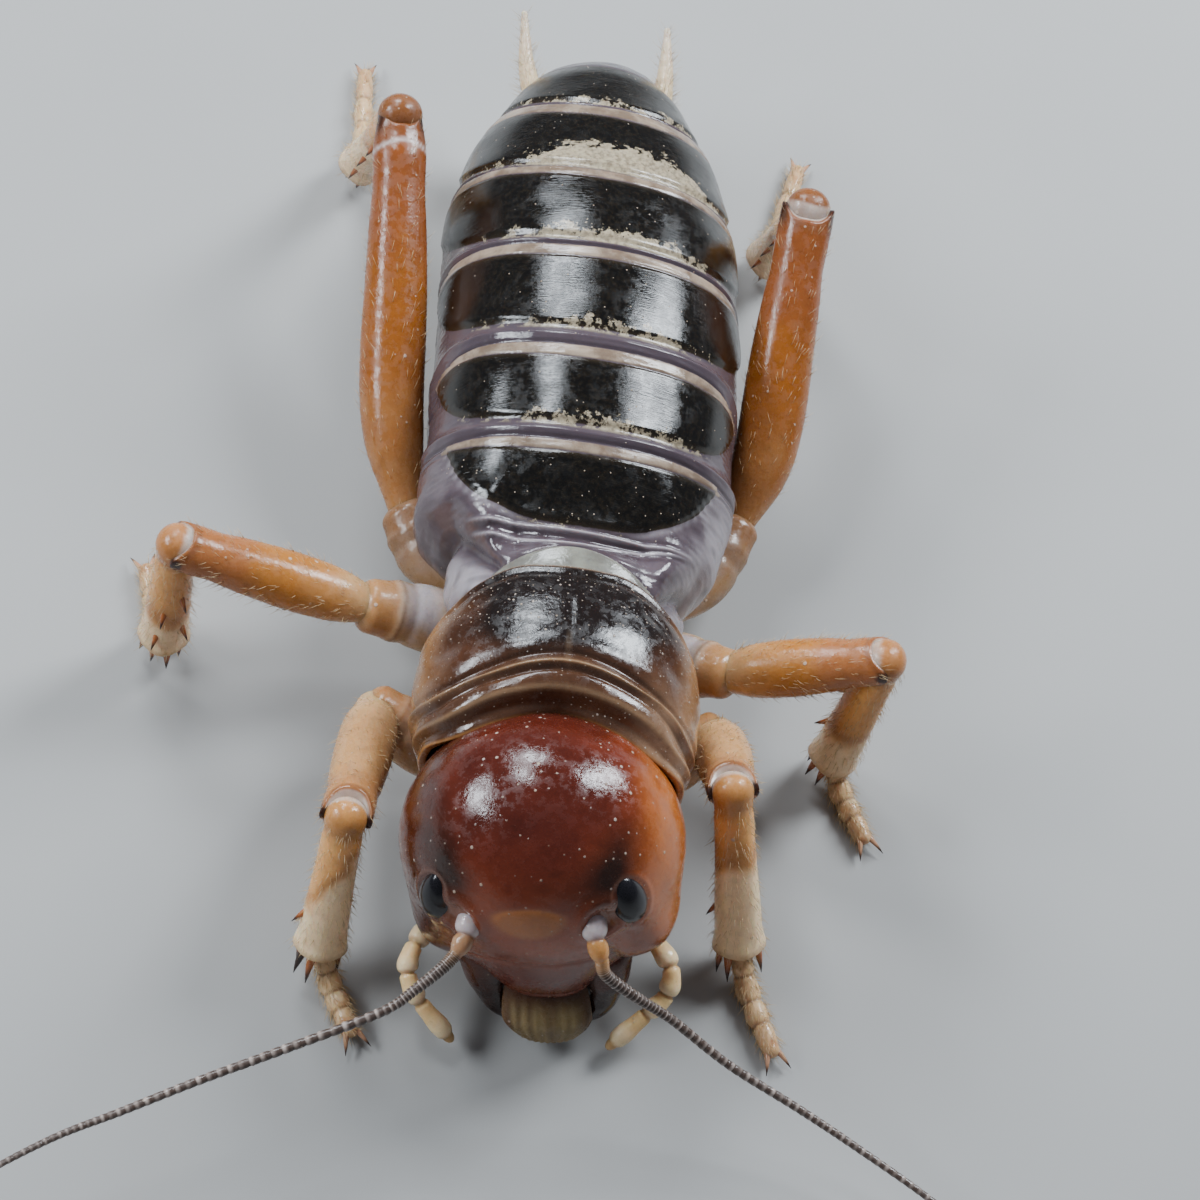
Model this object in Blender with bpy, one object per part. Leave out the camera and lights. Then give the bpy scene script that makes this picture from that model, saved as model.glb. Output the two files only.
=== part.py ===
"""A life-size museum model of a Jerusalem cricket at rest on its six feet and its belly.

The body lies along Y with the head towards -Y and the tail towards +Y, and +X is the animal's left.
Every shape is worked out in millimetres, and each mesh is made in metres. The model is still: it has no
joints. Trunk, head and limbs are lofts between unlike sections. Where a limb leaves the trunk, or an eye
or a mandible sits in the head, the larger piece is cut by a copy of the smaller one that is GAP wider, so
that the two meet face to face. Limb pieces are parted by one flat cut at each joint.
"""

import math

import bmesh
import bpy
import numpy as np
from mathutils import Vector

MODEL = "jerusalem_cricket"
MM = 0.001
GAP = 0.3  # space between two touching pieces
TRUNK_SIDES = 26
LIMB_SIDES = 10
SLIM_SIDES = 8
CAP_ANGLES = (35, 68)  # latitudes of the rings that round off a limb's end, in degrees

# Trunk stations: y, half width, top height, bottom height, all in millimetres
PRONOTUM = [
    (-11.7, 5.45, 12.35, 4.5),
    (-11.3, 5.62, 12.6, 4.4),
    (-10.7, 5.5, 12.4, 4.4),
    (-9.6, 5.65, 12.65, 4.4),
    (-8.3, 5.55, 12.65, 4.4),
    (-7.0, 5.25, 12.4, 4.5),
    (-5.8, 4.95, 12.05, 4.6),
    (-4.9, 4.45, 11.75, 4.9),
    (-4.2, 3.55, 11.3, 5.6),
    (-3.9, 2.6, 10.9, 6.4),
]
PROSTERNUM = [
    (-11.1, 3.2, 4.0, 2.3),
    (-10.2, 4.2, 4.0, 1.9),
    (-8.4, 4.5, 4.0, 1.7),
    (-6.3, 4.5, 4.0, 1.7),
]
REAR_BODY = [
    (-6.0, 4.4, 9.2, 1.8),
    (-5.0, 4.6, 9.8, 1.7),
    (-3.6, 4.8, 10.3, 1.5),
    (-2.6, 5.1, 10.5, 1.2),
    (-1.6, 5.7, 10.7, 0.9),
    (-0.4, 6.1, 10.9, 0.6),
    (2.0, 6.5, 11.3, 0.2),
    (5.0, 6.7, 11.7, -0.2),
    (8.0, 6.75, 11.85, -0.3),
    (11.0, 6.7, 11.8, -0.3),
    (14.0, 6.5, 11.55, -0.1),
    (17.0, 6.1, 11.0, 0.3),
    (19.5, 5.5, 10.3, 0.8),
    (21.5, 4.8, 9.5, 1.4),
    (23.5, 3.8, 8.5, 2.1),
    (25.0, 2.6, 7.4, 2.9),
    (25.8, 1.4, 6.5, 3.8),
]
THORAX_END = (0.0, -2.75, 10.5)  # a point on the plane that parts the thorax from the abdomen
THORAX_SLOPE = (0.0, 0.943, 0.333)  # that plane's normal: the thorax reaches further back underneath
TERGITES = [  # front and rear edges of each plate
    (-2.3, 1.2),
    (2.0, 5.7),
    (6.5, 10.5),
    (11.7, 15.2),
    (16.9, 20.5),
    (21.7, 24.1),
]
ABDOMEN_FRONT = -3.8
ABDOMEN_REAR = (25.0, 25.7)
PLATE_RISE = 0.24  # how far a tergite stands over the membrane between it and the next
PLATE_EDGE = 0.3  # length of the slope up to a tergite
PLATE_BOW = 0.9  # how far a tergite's ends lie behind its middle
BOW_END = 24.5  # the bow dies out towards here
BOW_FADE = 3.0
TRUNK_X = -0.3  # the front of the trunk leans this far to the animal's right
WIDEST = 0.5  # where a section is widest, as a share of its height
LOBE_SQUARE = 0.62  # exponent of the lower half of a pronotum section; 1 is an ellipse
BELLY_SQUARE = 0.85
STERNUM_SQUARE = 0.5
SHIELD_GAP = 0.38  # space between the pronotum's lining and the thorax under it

HEAD_CENTRE = np.array([-0.36, -15.24, 7.6])
HEAD_HALF = np.array([5.65, 4.9, 5.6])
HEAD_ROLL = -11.5  # degrees about Y: the crown leans to the animal's right
FACE_TOP = -0.5  # height in the head's own frame where the face starts to run straight down
FACE_BOTTOM = -4.8  # height of the mouth
FACE_FORWARD = 2.2  # how far the mouth stands forward of the round head
FACE_HALF_WIDTH = 3.0
FACE_SPREAD = (2.2, 0.2)  # how fast the face takes over from the round head, and where
MOUTH_BOW = 0.15
EYE_AT = (3.78, 1.7)  # sideways and up in the head's own frame; on its surface
EYE_HALF = (0.75, 1.3, 0.7)  # half width, half height, half depth
EYE_SUNK = 0.25

MANDIBLE = [  # middle line and radius of the animal's left one, in the head's own frame
    (3.1, -3.2, -3.6, 1.2),
    (3.0, -3.7, -4.9, 1.2),
    (2.2, -4.0, -6.1, 0.85),
    (0.8, -4.1, -6.9, 0.4),
]
LABRUM_HALF_WIDTH = 1.9
LABRUM_THICK = 0.8
LABRUM = [  # y and z down its middle line, share of the half width, share of the thickness
    (-4.85, -5.2, 1.0, 1.0),
    (-5.25, -5.7, 1.04, 1.0),
    (-5.45, -6.2, 0.92, 0.9),
    (-5.65, -6.75, 0.55, 0.7),
]
LABRUM_SIDES = 16
MAXILLARY_PALP = {
    "left": [
        (3.3, -15.9, 3.9),
        (4.6, -17.0, 3.4),
        (5.5, -18.2, 3.3),
        (5.5, -19.1, 2.6),
        (4.8, -19.8, 2.0),
        (3.6, -20.8, 1.0),
    ],
    "right": [
        (-2.6, -15.7, 3.2),
        (-4.2, -17.2, 2.9),
        (-5.0, -18.9, 2.9),
        (-4.6, -20.1, 2.3),
        (-3.1, -21.2, 1.0),
    ],
}
MAXILLARY_PALP_RADII = (0.36, 0.36)
LABIAL_PALP = [(0.9, -0.9, -4.7), (1.5, -1.9, -5.8), (1.4, -2.7, -6.6)]
LABIAL_PALP_RADII = (0.32, 0.26)

ANTENNA_BASE = {
    "left": [(1.6, -18.7, 9.5), (1.85, -19.8, 9.1), (2.05, -20.2, 8.8), (2.2, -20.45, 8.55)],
    "right": [(-2.85, -18.7, 8.4), (-3.0, -19.8, 8.15), (-3.15, -20.2, 8.0), (-3.3, -20.5, 7.85)],
}
ANTENNA_BASE_RADII = (0.42, 0.55, 0.38, 0.36)
ANTENNA = {
    "left": [
        (2.5, -20.85, 8.0),
        (3.9, -21.2, 6.9),
        (5.4, -21.5, 5.8),
        (7.9, -22.5, 4.3),
        (11.0, -23.6, 3.1),
        (13.5, -24.7, 2.4),
        (16.5, -26.3, 1.9),
        (19.3, -28.2, 1.6),
        (22.0, -30.3, 1.4),
    ],
    "right": [
        (-3.75, -21.05, 7.6),
        (-4.7, -21.9, 7.2),
        (-5.9, -22.8, 6.8),
        (-9.2, -24.4, 6.3),
        (-12.3, -25.9, 6.0),
        (-15.1, -27.5, 6.1),
        (-17.1, -28.7, 6.4),
        (-19.0, -30.2, 6.9),
        (-21.2, -32.2, 7.6),
    ],
}
FLAGELLUM_RADIUS = (0.32, 0.25)  # at its root, and where it starts to taper to the tip
FLAGELLUM_TIP = 0.1
FLAGELLUM_STEPS = 26

CERCUS = {
    "left": [(2.5, 23.6, 5.6), (2.6, 26.0, 6.3), (2.5, 28.3, 7.0)],
    "right": [(-3.2, 23.3, 5.4), (-4.0, 25.8, 6.0), (-4.4, 28.2, 7.0)],
}
CERCUS_RADII = (0.6, 0.45, 0.15)

# Each leg's route: root inside the trunk, coxa and base of the femur, then knee, ankle and toe
LEGS = {
    "front_left": {
        "coxa": [(3.4, -9.5, 2.9), (5.0, -9.1, 3.5), (6.8, -8.0, 4.3)],
        "knee": (7.0, -12.6, 8.4),
        "ankle": (8.5, -16.2, 1.7),
        "toe": (10.2, -20.2, 0.5),
    },
    "front_right": {
        "coxa": [(-4.0, -9.5, 2.9), (-5.6, -9.3, 3.5), (-7.5, -8.6, 4.3)],
        "knee": (-8.1, -15.4, 8.0),
        "ankle": (-8.6, -18.2, 1.8),
        "toe": (-7.0, -21.2, 0.5),
    },
    "mid_left": {
        "coxa": [(3.6, -4.0, 3.0), (5.2, -4.6, 4.0), (6.9, -5.4, 5.0)],
        "knee": (13.2, -5.6, 8.0),
        "ankle": (12.3, -6.9, 1.5),
        "toe": (13.9, -10.1, 0.5),
    },
    "mid_right": {
        "coxa": [(-4.0, -3.7, 3.0), (-5.9, -3.8, 4.0), (-8.2, -4.1, 5.0)],
        "knee": (-16.3, -4.0, 8.0),
        "ankle": (-16.9, -4.6, 1.5),
        "toe": (-18.2, -1.0, 0.5),
    },
    "hind_left": {
        "coxa": [(4.2, -0.6, 2.8), (6.0, 0.5, 3.0), (7.3, 2.8, 3.5)],
        "knee": (8.9, 15.2, 11.0),
        "ankle": (8.7, 19.8, 1.5),
        "toe": (10.1, 26.2, 0.5),
    },
    "hind_right": {
        "coxa": [(-4.1, -0.3, 2.8), (-6.0, 0.0, 3.0), (-7.2, 1.5, 3.5)],
        "knee": (-9.5, 17.6, 11.0),
        "ankle": (-11.3, 22.4, 1.5),
        "toe": (-11.8, 28.8, 0.5),
    },
}
# Radii along each piece, from its root to its end, for the three pairs of legs
COXA_RADII = {"front": (1.4, 1.4, 1.05), "mid": (1.4, 1.4, 1.1), "hind": (1.5, 1.4, 1.05)}
FEMUR_RADII = {
    "front": (0.95, 1.1, 1.12, 1.05, 1.0),
    "mid": (1.0, 1.15, 1.18, 1.1, 1.05),
    "hind": (0.9, 1.43, 1.42, 1.25, 1.25),
}
FEMUR_BOW = {"front": 0.0, "mid": 0.0, "hind": 0.55}  # how far the femur bends outwards near its root
TIBIA_RADII = {
    "front": (0.85, 0.8, 0.85, 1.0, 1.05),
    "mid": (0.95, 0.9, 0.95, 1.05, 1.1),
    "hind": (1.0, 0.85, 0.8, 0.9, 1.05),
}
TARSUS_RADII = (0.55, 0.72, 0.55, 0.68, 0.52, 0.64, 0.48, 0.55, 0.4)
SPINE_SIDES = 5
SPUR_LENGTH = {"front": 1.5, "mid": 1.2, "hind": 1.3}  # the spurs round the tibia's end
SPUR_ANGLES = (95, 138, 180, 222, 265)  # round the tibia, where 0 faces the tarsus
SPUR_RADIUS = 0.3
SPUR_SHARE = 0.93  # how far down the tibia the spurs stand
SPINE_ROWS = {  # share of the tibia's length, angle round it
    "front": [(0.62, 205), (0.8, 160)],
    "mid": [(0.4, 160), (0.55, 205), (0.72, 150), (0.8, 215)],
    "hind": [(0.3, 150), (0.38, 212), (0.52, 148), (0.6, 214), (0.75, 150), (0.82, 212)],
}
SPINE_LENGTH = 1.0
SPINE_RADIUS = 0.27
SPINE_LEAN = 50  # degrees from the tibia's own direction
SPUR_LEAN = 20
SPINE_ROOTED = 1.3  # a spine's root lies this many of its radii inside the limb
SPINE_CLEARANCE = 0.15  # between a spine's tip and the floor
CLAW_LENGTH = 1.0
CLAW_RADIUS = 0.25
CLAW_SPREAD = 24  # degrees to each side of the tarsus
CLAW_ROOTED = 0.3
CLAW_CLEARANCE = 0.12
CLAW_BACK = 0.15  # the claws' roots lie this far behind the toe and to each side of it
CLAW_ASIDE = 0.12
SOLE_HEIGHT = 0.5  # the tarsus's middle line runs this high over the floor, cut flat below
SOLE_DROP = 0.9

MATERIALS = {  # base colour, roughness
    "head_cuticle": ((0.16, 0.028, 0.012), 0.18),
    "face_cuticle": ((0.22, 0.05, 0.015), 0.22),
    "eye_black": ((0.006, 0.006, 0.008), 0.08),
    "mandible_black": ((0.03, 0.01, 0.006), 0.2),
    "palp_cream": ((0.62, 0.45, 0.22), 0.35),
    "feeler_brown": ((0.14, 0.09, 0.06), 0.4),
    "pronotum_cuticle": ((0.12, 0.035, 0.015), 0.2),
    "membrane": ((0.24, 0.17, 0.17), 0.35),
    "tergite_black": ((0.015, 0.013, 0.014), 0.2),
    "leg_amber": ((0.45, 0.17, 0.04), 0.25),
    "foot_beige": ((0.5, 0.3, 0.14), 0.35),
}


def clear_scene():
    """Removes every object, and makes the collection that the model's pieces go in."""
    for obj in list(bpy.data.objects):
        bpy.data.objects.remove(obj)
    bpy.context.scene.collection.children.link(bpy.data.collections.new(MODEL))


def add_object(name, data):
    obj = bpy.data.objects.new(name, data)
    bpy.data.collections[MODEL].objects.link(obj)
    return obj


def make_material(name):
    colour, roughness = MATERIALS[name]
    material = bpy.data.materials.new(name)
    material.use_nodes = True
    shader = material.node_tree.nodes["Principled BSDF"]
    shader.inputs["Base Color"].default_value = (*colour, 1.0)
    shader.inputs["Roughness"].default_value = roughness
    return material


def unit(vector):
    vector = np.asarray(vector, float)
    return vector / np.linalg.norm(vector)


def smooth_route(points, count):
    """Points evenly spaced on the Catmull-Rom curve through the route's points; each has any number of values."""
    points = np.asarray(points, float)
    padded = np.vstack([2 * points[0] - points[1], points, 2 * points[-1] - points[-2]])
    at = np.linspace(0, len(points) - 1, count)
    index = np.minimum(at.astype(int), len(points) - 2)
    t = (at - index)[:, None]
    a, b, c, d = (padded[index + k] for k in range(4))
    even = 2 * b + (2 * a - 5 * b + 4 * c - d) * t**2
    odd = (c - a) * t + (3 * b - a - 3 * c + d) * t**3
    return (even + odd) / 2


def volume(points, faces):
    """Six times the signed volume, which is negative for a shape whose faces point inwards."""
    total = 0.0
    for face in faces:
        for k in range(1, len(face) - 1):
            total += np.linalg.det(points[[face[0], face[k], face[k + 1]]])
    return total


def mesh_object(name, points, faces, material=None):
    """An object whose mesh is in metres, from points in millimetres, with its faces turned outwards."""
    if volume(points, faces) < 0:
        faces = [face[::-1] for face in faces]
    mesh = bpy.data.meshes.new(name)
    mesh.from_pydata((points * MM).tolist(), [], faces)
    mesh.shade_smooth()
    if material:
        mesh.materials.append(bpy.data.materials[material])
    return add_object(name, mesh)


def loft(name, rings, material=None):
    """A closed solid through rings of equal point counts, with a fan of triangles over each end."""
    count, sides = rings.shape[:2]
    points = np.vstack([rings.reshape(-1, 3), rings[0].mean(axis=0), rings[-1].mean(axis=0)])
    faces = []
    for i in range(count - 1):
        for j in range(sides):
            k = (j + 1) % sides
            faces.append([i * sides + j, i * sides + k, (i + 1) * sides + k, (i + 1) * sides + j])
    last = (count - 1) * sides
    for j in range(sides):
        k = (j + 1) % sides
        faces.append([count * sides, k, j])
        faces.append([count * sides + 1, last + j, last + k])
    return mesh_object(name, points, faces, material)


def limb(name, route, radii, material=None, grow=0.0, sides=LIMB_SIDES, steps=7, side=None):
    """A limb with round ends: rings across a smooth route, the first point of each towards the given side."""
    path = smooth_route(route, steps)
    radius = np.interp(np.linspace(0, 1, steps), np.linspace(0, 1, len(radii)), radii) + grow
    tangent = np.gradient(path, axis=0)
    tangent /= np.linalg.norm(tangent, axis=1)[:, None]
    if side is None:
        side = np.eye(3)[np.argmin(np.abs(tangent.mean(axis=0)))]
    centres, sizes, directions = list(path), list(radius), list(tangent)
    for angle in CAP_ANGLES:
        reach, size = math.sin(math.radians(angle)), math.cos(math.radians(angle))
        front, rear = tangent[0] * radius[0] * reach, tangent[-1] * radius[-1] * reach
        centres = [path[0] - front, *centres, path[-1] + rear]
        sizes = [radius[0] * size, *sizes, radius[-1] * size]
        directions = [tangent[0], *directions, tangent[-1]]
    turn = np.linspace(0, 2 * math.pi, sides, endpoint=False)
    rings = []
    for centre, size, direction in zip(centres, sizes, directions):
        across = unit(side - np.dot(side, direction) * direction)
        over = np.cross(direction, across)
        rings.append(centre + size * (np.outer(np.cos(turn), across) + np.outer(np.sin(turn), over)))
    return loft(name, np.array(rings), material)


def trim(obj, point, normal):
    """Cuts away what lies beyond a plane, in millimetres, and closes the cut with one flat face."""
    shape = bmesh.new()
    shape.from_mesh(obj.data)
    bmesh.ops.bisect_plane(
        shape, geom=[*shape.verts, *shape.edges, *shape.faces], plane_co=np.asarray(point) * MM,
        plane_no=unit(normal), clear_outer=True, dist=MM * 1e-4,
    )
    bmesh.ops.holes_fill(shape, edges=[edge for edge in shape.edges if edge.is_boundary])
    bmesh.ops.remove_doubles(shape, verts=shape.verts, dist=MM * 1e-3)
    bmesh.ops.triangulate(shape, faces=[face for face in shape.faces if len(face.verts) > 4])
    shape.to_mesh(obj.data)
    shape.free()


def keep_largest(obj):
    """Deletes every loose piece of the mesh but the one with the largest extent."""
    shape = bmesh.new()
    shape.from_mesh(obj.data)
    left = set(shape.verts)
    islands = []
    while left:
        island, queue = set(), [left.pop()]
        while queue:
            vert = queue.pop()
            island.add(vert)
            near = {edge.other_vert(vert) for edge in vert.link_edges} & left
            left -= near
            queue.extend(near)
        places = np.array([vert.co for vert in island])
        islands.append((np.ptp(places, axis=0).sum(), island))
    largest = max(islands, key=lambda entry: entry[0])[1]
    bmesh.ops.delete(shape, geom=[vert for vert in shape.verts if vert not in largest], context="VERTS")
    shape.to_mesh(obj.data)
    shape.free()


def boolean(obj, others, operation):
    """Joins the others to the object, or cuts them from it, and removes them."""
    group = bpy.data.collections.new(obj.name + "_tools")
    bpy.context.scene.collection.children.link(group)
    for other in others:
        bpy.data.collections[MODEL].objects.unlink(other)
        group.objects.link(other)
    modifier = obj.modifiers.new(operation.lower(), "BOOLEAN")
    modifier.operation = operation
    modifier.operand_type = "COLLECTION"
    modifier.collection = group
    modifier.solver = "EXACT"
    graph = bpy.context.evaluated_depsgraph_get()
    mesh = bpy.data.meshes.new_from_object(obj.evaluated_get(graph))
    obj.modifiers.clear()
    obj.data = mesh
    for other in others:
        bpy.data.objects.remove(other)
    bpy.data.collections.remove(group)
    keep_largest(obj)


def trunk_rings(stations, square, shift=0.0, grow=0.0):
    """Sections of the trunk: an upper half ellipse over a squarer lower half, from stations along Y."""
    turn = np.linspace(0, 2 * math.pi, TRUNK_SIDES, endpoint=False)
    rings = []
    last = len(stations) - 1
    for i, (y, half, top, bottom) in enumerate(stations):
        y += -grow if i == 0 else grow if i == last else 0.0
        middle = bottom + WIDEST * (top - bottom)
        reach = np.where(np.sin(turn) > 0, top + grow - middle, middle - bottom + grow)
        power = np.where(np.sin(turn) > 0, 1.0, square)
        x = (half + grow) * np.sign(np.cos(turn)) * np.abs(np.cos(turn)) ** power
        z = middle + reach * np.sign(np.sin(turn)) * np.abs(np.sin(turn)) ** power
        rings.append(np.stack([x + shift, np.full_like(x, y), z], axis=1))
    return np.array(rings)


def abdomen_rings():
    """The rear body's sections at its tergites' edges; each tergite stands PLATE_RISE over the membrane."""
    places = [(ABDOMEN_FRONT, 0.0)]
    for front, rear in TERGITES:
        places += [(front, 0.0), (front + PLATE_EDGE, 0.8), ((front + rear) / 2, 1.0), (rear, 0.9)]
        places += [(rear + PLATE_EDGE / 2, 0.0)]
    places += [(y, 0.0) for y in ABDOMEN_REAR]
    known = np.array(REAR_BODY)
    stations, rises = [], []
    for y, rise in places:
        stations.append([y, *(np.interp(y, known[:, 0], known[:, k]) for k in (1, 2, 3))])
        rises.append(rise * PLATE_RISE)
    rings = trunk_rings(stations, BELLY_SQUARE)
    for ring, rise, (y, half, top, bottom) in zip(rings, rises, stations):
        middle = np.array([0.0, 0.0, (top + bottom) / 2])
        out = (ring - middle) * (1, 0, 1)
        ring += rise * out / np.linalg.norm(out, axis=1)[:, None]
        fade = np.clip((BOW_END - y) / BOW_FADE, 0, 1)
        ring[:, 1] += PLATE_BOW * fade * np.clip((ring[:, 0] / half) ** 2, 0, 1)
    return rings


def head_frame():
    """The turn from the head's own frame to the body's."""
    c, s = math.cos(math.radians(HEAD_ROLL)), math.sin(math.radians(HEAD_ROLL))
    return np.array([[c, 0, s], [0, 1, 0], [-s, 0, c]])


def from_head(points):
    return np.asarray(points, float) @ head_frame().T + HEAD_CENTRE


def mirrored(route, side):
    """A route given for the animal's left, in the head's own frame, on the side that is asked for."""
    sign = 1 if side == "left" else -1
    return [(sign * point[0], *point[1:]) for point in route]


def head_solid(name, grow=0.0, material=None):
    """A round head whose face runs straight down to the mouth, from a sphere moved by a formula."""
    shape = bmesh.new()
    bmesh.ops.create_uvsphere(shape, u_segments=TRUNK_SIDES, v_segments=16, radius=1.0)
    ball = np.array([vert.co for vert in shape.verts])
    faces = [[vert.index for vert in face.verts] for face in shape.faces]
    shape.free()
    local = ball * (HEAD_HALF + grow)
    down = np.clip((FACE_TOP - local[:, 2]) / (FACE_TOP - FACE_BOTTOM), 0, 1) ** 2
    front = np.clip(-ball[:, 1] * FACE_SPREAD[0] + FACE_SPREAD[1], 0, 1)
    narrow = np.exp(-((local[:, 0] / (FACE_HALF_WIDTH + grow)) ** 4))
    local[:, 1] -= FACE_FORWARD * down * front * narrow
    local[:, 2] = np.maximum(local[:, 2], FACE_BOTTOM - grow - MOUTH_BOW * (1 - ball[:, 1] ** 2))
    return mesh_object(name, from_head(local), faces, material)


def on_head(x, z):
    """The point of the round head's front at x and z of its own frame, and the outward direction there."""
    y = -HEAD_HALF[1] * math.sqrt(1 - (x / HEAD_HALF[0]) ** 2 - (z / HEAD_HALF[2]) ** 2)
    point = np.array([x, y, z])
    return point, unit(point / HEAD_HALF**2)


def eye_solid(name, side, grow=0.0, material=None):
    """A long oval dome that stands up in the head's surface, sunk to near its half depth."""
    sign = 1 if side == "left" else -1
    point, out = on_head(sign * EYE_AT[0], EYE_AT[1])
    up = unit(np.array([0, 0, 1.0]) - out[2] * out)
    across = np.cross(up, out)
    shape = bmesh.new()
    bmesh.ops.create_uvsphere(shape, u_segments=14, v_segments=8, radius=1.0)
    ball = np.array([vert.co for vert in shape.verts])
    faces = [[vert.index for vert in face.verts] for face in shape.faces]
    shape.free()
    half = np.array(EYE_HALF) + grow
    local = point - out * EYE_SUNK + ball @ np.array([across * half[0], up * half[1], out * half[2]])
    return mesh_object(name, from_head(local), faces, material)


def mandible_solid(name, side, grow=0.0, material=None):
    route = mirrored(MANDIBLE, side)
    path, radii = from_head([point[:3] for point in route]), [point[3] for point in route]
    return limb(name, path, radii, material, grow)


def labrum_solid():
    """A shield that hangs from the face over the mandibles: sections across it, down its middle line."""
    turn = np.linspace(0, 2 * math.pi, LABRUM_SIDES, endpoint=False)
    rings = []
    for y, z, width, depth in LABRUM:
        half = LABRUM_HALF_WIDTH * width
        thick = LABRUM_THICK / 2 * depth
        rings.append(np.stack([half * np.cos(turn), y + thick * np.sin(turn), np.full_like(turn, z)], axis=1))
    rings = np.array([from_head(ring) for ring in rings])
    return loft("labrum", rings, "face_cuticle")


def antenna_base(name, side, grow=0.0, material=None):
    return limb(name, ANTENNA_BASE[side], ANTENNA_BASE_RADII, material, grow, steps=6)


def maxillary_palp(name, side, grow=0.0, material=None):
    return limb(name, MAXILLARY_PALP[side], MAXILLARY_PALP_RADII, material, grow, SLIM_SIDES, steps=10)


def labial_palp(name, side, grow=0.0, material=None):
    route = from_head(mirrored(LABIAL_PALP, side))
    return limb(name, route, LABIAL_PALP_RADII, material, grow, SLIM_SIDES, steps=5)


def make_head():
    """The head with its eyes, antenna bases and mouthparts, each of which it is cut free of."""
    head = head_solid("head", material="head_cuticle")
    forms = [
        ("eye_", eye_solid, "eye_black"),
        ("mandible_", mandible_solid, "mandible_black"),
        ("antenna_base_", antenna_base, "leg_amber"),
        ("maxillary_palp_", maxillary_palp, "palp_cream"),
        ("labial_palp_", labial_palp, "palp_cream"),
    ]
    cutters = []
    for side in ("left", "right"):
        for name, make, material in forms:
            make(name + side, side, material=material)
            cutters.append(make("cut", side, GAP))
    labrum_solid()
    boolean(head, cutters, "DIFFERENCE")


def make_antennae():
    """Each flagellum is two round tapered lengths, which meet end to end in its middle."""
    for side, route in ANTENNA.items():
        path = smooth_route(route, FLAGELLUM_STEPS)
        share = np.linspace(0, 1, FLAGELLUM_STEPS)
        root, middle = FLAGELLUM_RADIUS
        radii = np.interp(share, (0, 0.4, 0.8, 1), (root, middle, middle, FLAGELLUM_TIP))
        half = FLAGELLUM_STEPS // 2
        step = unit(path[half] - path[half - 1])
        inner, outer = path[:half].copy(), path[half - 1:].copy()
        inner[-1] -= step * GAP / 2
        outer[0] += step * GAP / 2
        lengths = (("inner", inner, radii[:half]), ("outer", outer, radii[half - 1:]))
        for part, points, sizes in lengths:
            curve = bpy.data.curves.new(f"flagellum_{part}_{side}", "CURVE")
            curve.dimensions = "3D"
            curve.bevel_depth = MM
            curve.bevel_resolution = 1
            curve.use_fill_caps = True
            spline = curve.splines.new("POLY")
            spline.points.add(len(points) - 1)
            for place, point, size in zip(spline.points, points, sizes):
                place.co = (*(point * MM), 1.0)
                place.radius = size
            curve.materials.append(bpy.data.materials["feeler_brown"])
            add_object(curve.name, curve)


def leg_directions(leg):
    """The joints of a leg, and the unit directions of its coxa, femur, tibia and tarsus."""
    joints = [np.array(leg["coxa"][-2]), np.array(leg["coxa"][-1])]
    joints += [np.array(leg[key]) for key in ("knee", "ankle", "toe")]
    return joints[1:], [unit(b - a) for a, b in zip(joints, joints[1:])]


def coxa_solid(name, pair, leg, grow=0.0, material=None):
    return limb(name, leg["coxa"], COXA_RADII[pair], material, grow, SLIM_SIDES, steps=5)


def femur_solid(name, pair, leg, grow=0.0, material=None):
    (base, knee, _, _), directions = leg_directions(leg)
    side = np.cross(directions[1], directions[2])
    bow = np.array([FEMUR_BOW[pair] * np.sign(base[0]), 0, 0])
    route = [base, base + 0.25 * (knee - base) + bow, base + 0.6 * (knee - base) + bow / 2, knee]
    return limb(name, route, FEMUR_RADII[pair], material, grow, steps=8, side=side)


def leg_cutters(make, pairs):
    """Copies of one kind of limb piece, GAP wider, for the named pairs of legs."""
    cutters = []
    for name, leg in LEGS.items():
        pair = name.split("_")[0]
        if pair in pairs:
            cutters.append(make("cut", pair, leg, GAP))
    return cutters


def spine(root, direction, length, radius):
    """A slim cone of few sides, from its root, which lies inside the limb, to its tip."""
    shape = bmesh.new()
    bmesh.ops.create_cone(shape, cap_ends=True, segments=SPINE_SIDES, radius1=radius, radius2=0, depth=length)
    turn = Vector((0, 0, 1)).rotation_difference(Vector(direction)).to_matrix()
    bmesh.ops.rotate(shape, verts=shape.verts, matrix=turn)
    points = np.array([vert.co for vert in shape.verts]) + root + np.asarray(direction) * length / 2
    faces = [[vert.index for vert in face.verts] for face in shape.faces]
    shape.free()
    return mesh_object("spine", points, faces)


def tibia_spines(pair, knee, ankle, toe):
    """Spines down the tibia's outer face and spurs round its end, all clear of the tarsus and the floor."""
    along = unit(ankle - knee)
    ahead = unit((toe - ankle) - np.dot(toe - ankle, along) * along)
    across = np.cross(along, ahead)
    length = np.linalg.norm(ankle - knee)
    wanted = [(share, angle, SPINE_LEAN, SPINE_LENGTH, SPINE_RADIUS) for share, angle in SPINE_ROWS[pair]]
    for angle in SPUR_ANGLES:
        wanted.append((SPUR_SHARE, angle, SPUR_LEAN, SPUR_LENGTH[pair], SPUR_RADIUS))
    pieces = []
    for share, angle, lean, reach, radius in wanted:
        out = math.cos(math.radians(angle)) * ahead + math.sin(math.radians(angle)) * across
        direction = unit(math.cos(math.radians(lean)) * along + math.sin(math.radians(lean)) * out)
        limb_radius = np.interp(share, np.linspace(0, 1, 5), TIBIA_RADII[pair])
        root = knee + along * length * share + out * (limb_radius - radius * SPINE_ROOTED)
        full = reach + radius * SPINE_ROOTED
        if direction[2] < 0:
            full = min(full, (root[2] - SPINE_CLEARANCE) / -direction[2])
        pieces.append(spine(root, direction, full, radius))
    return pieces


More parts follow.
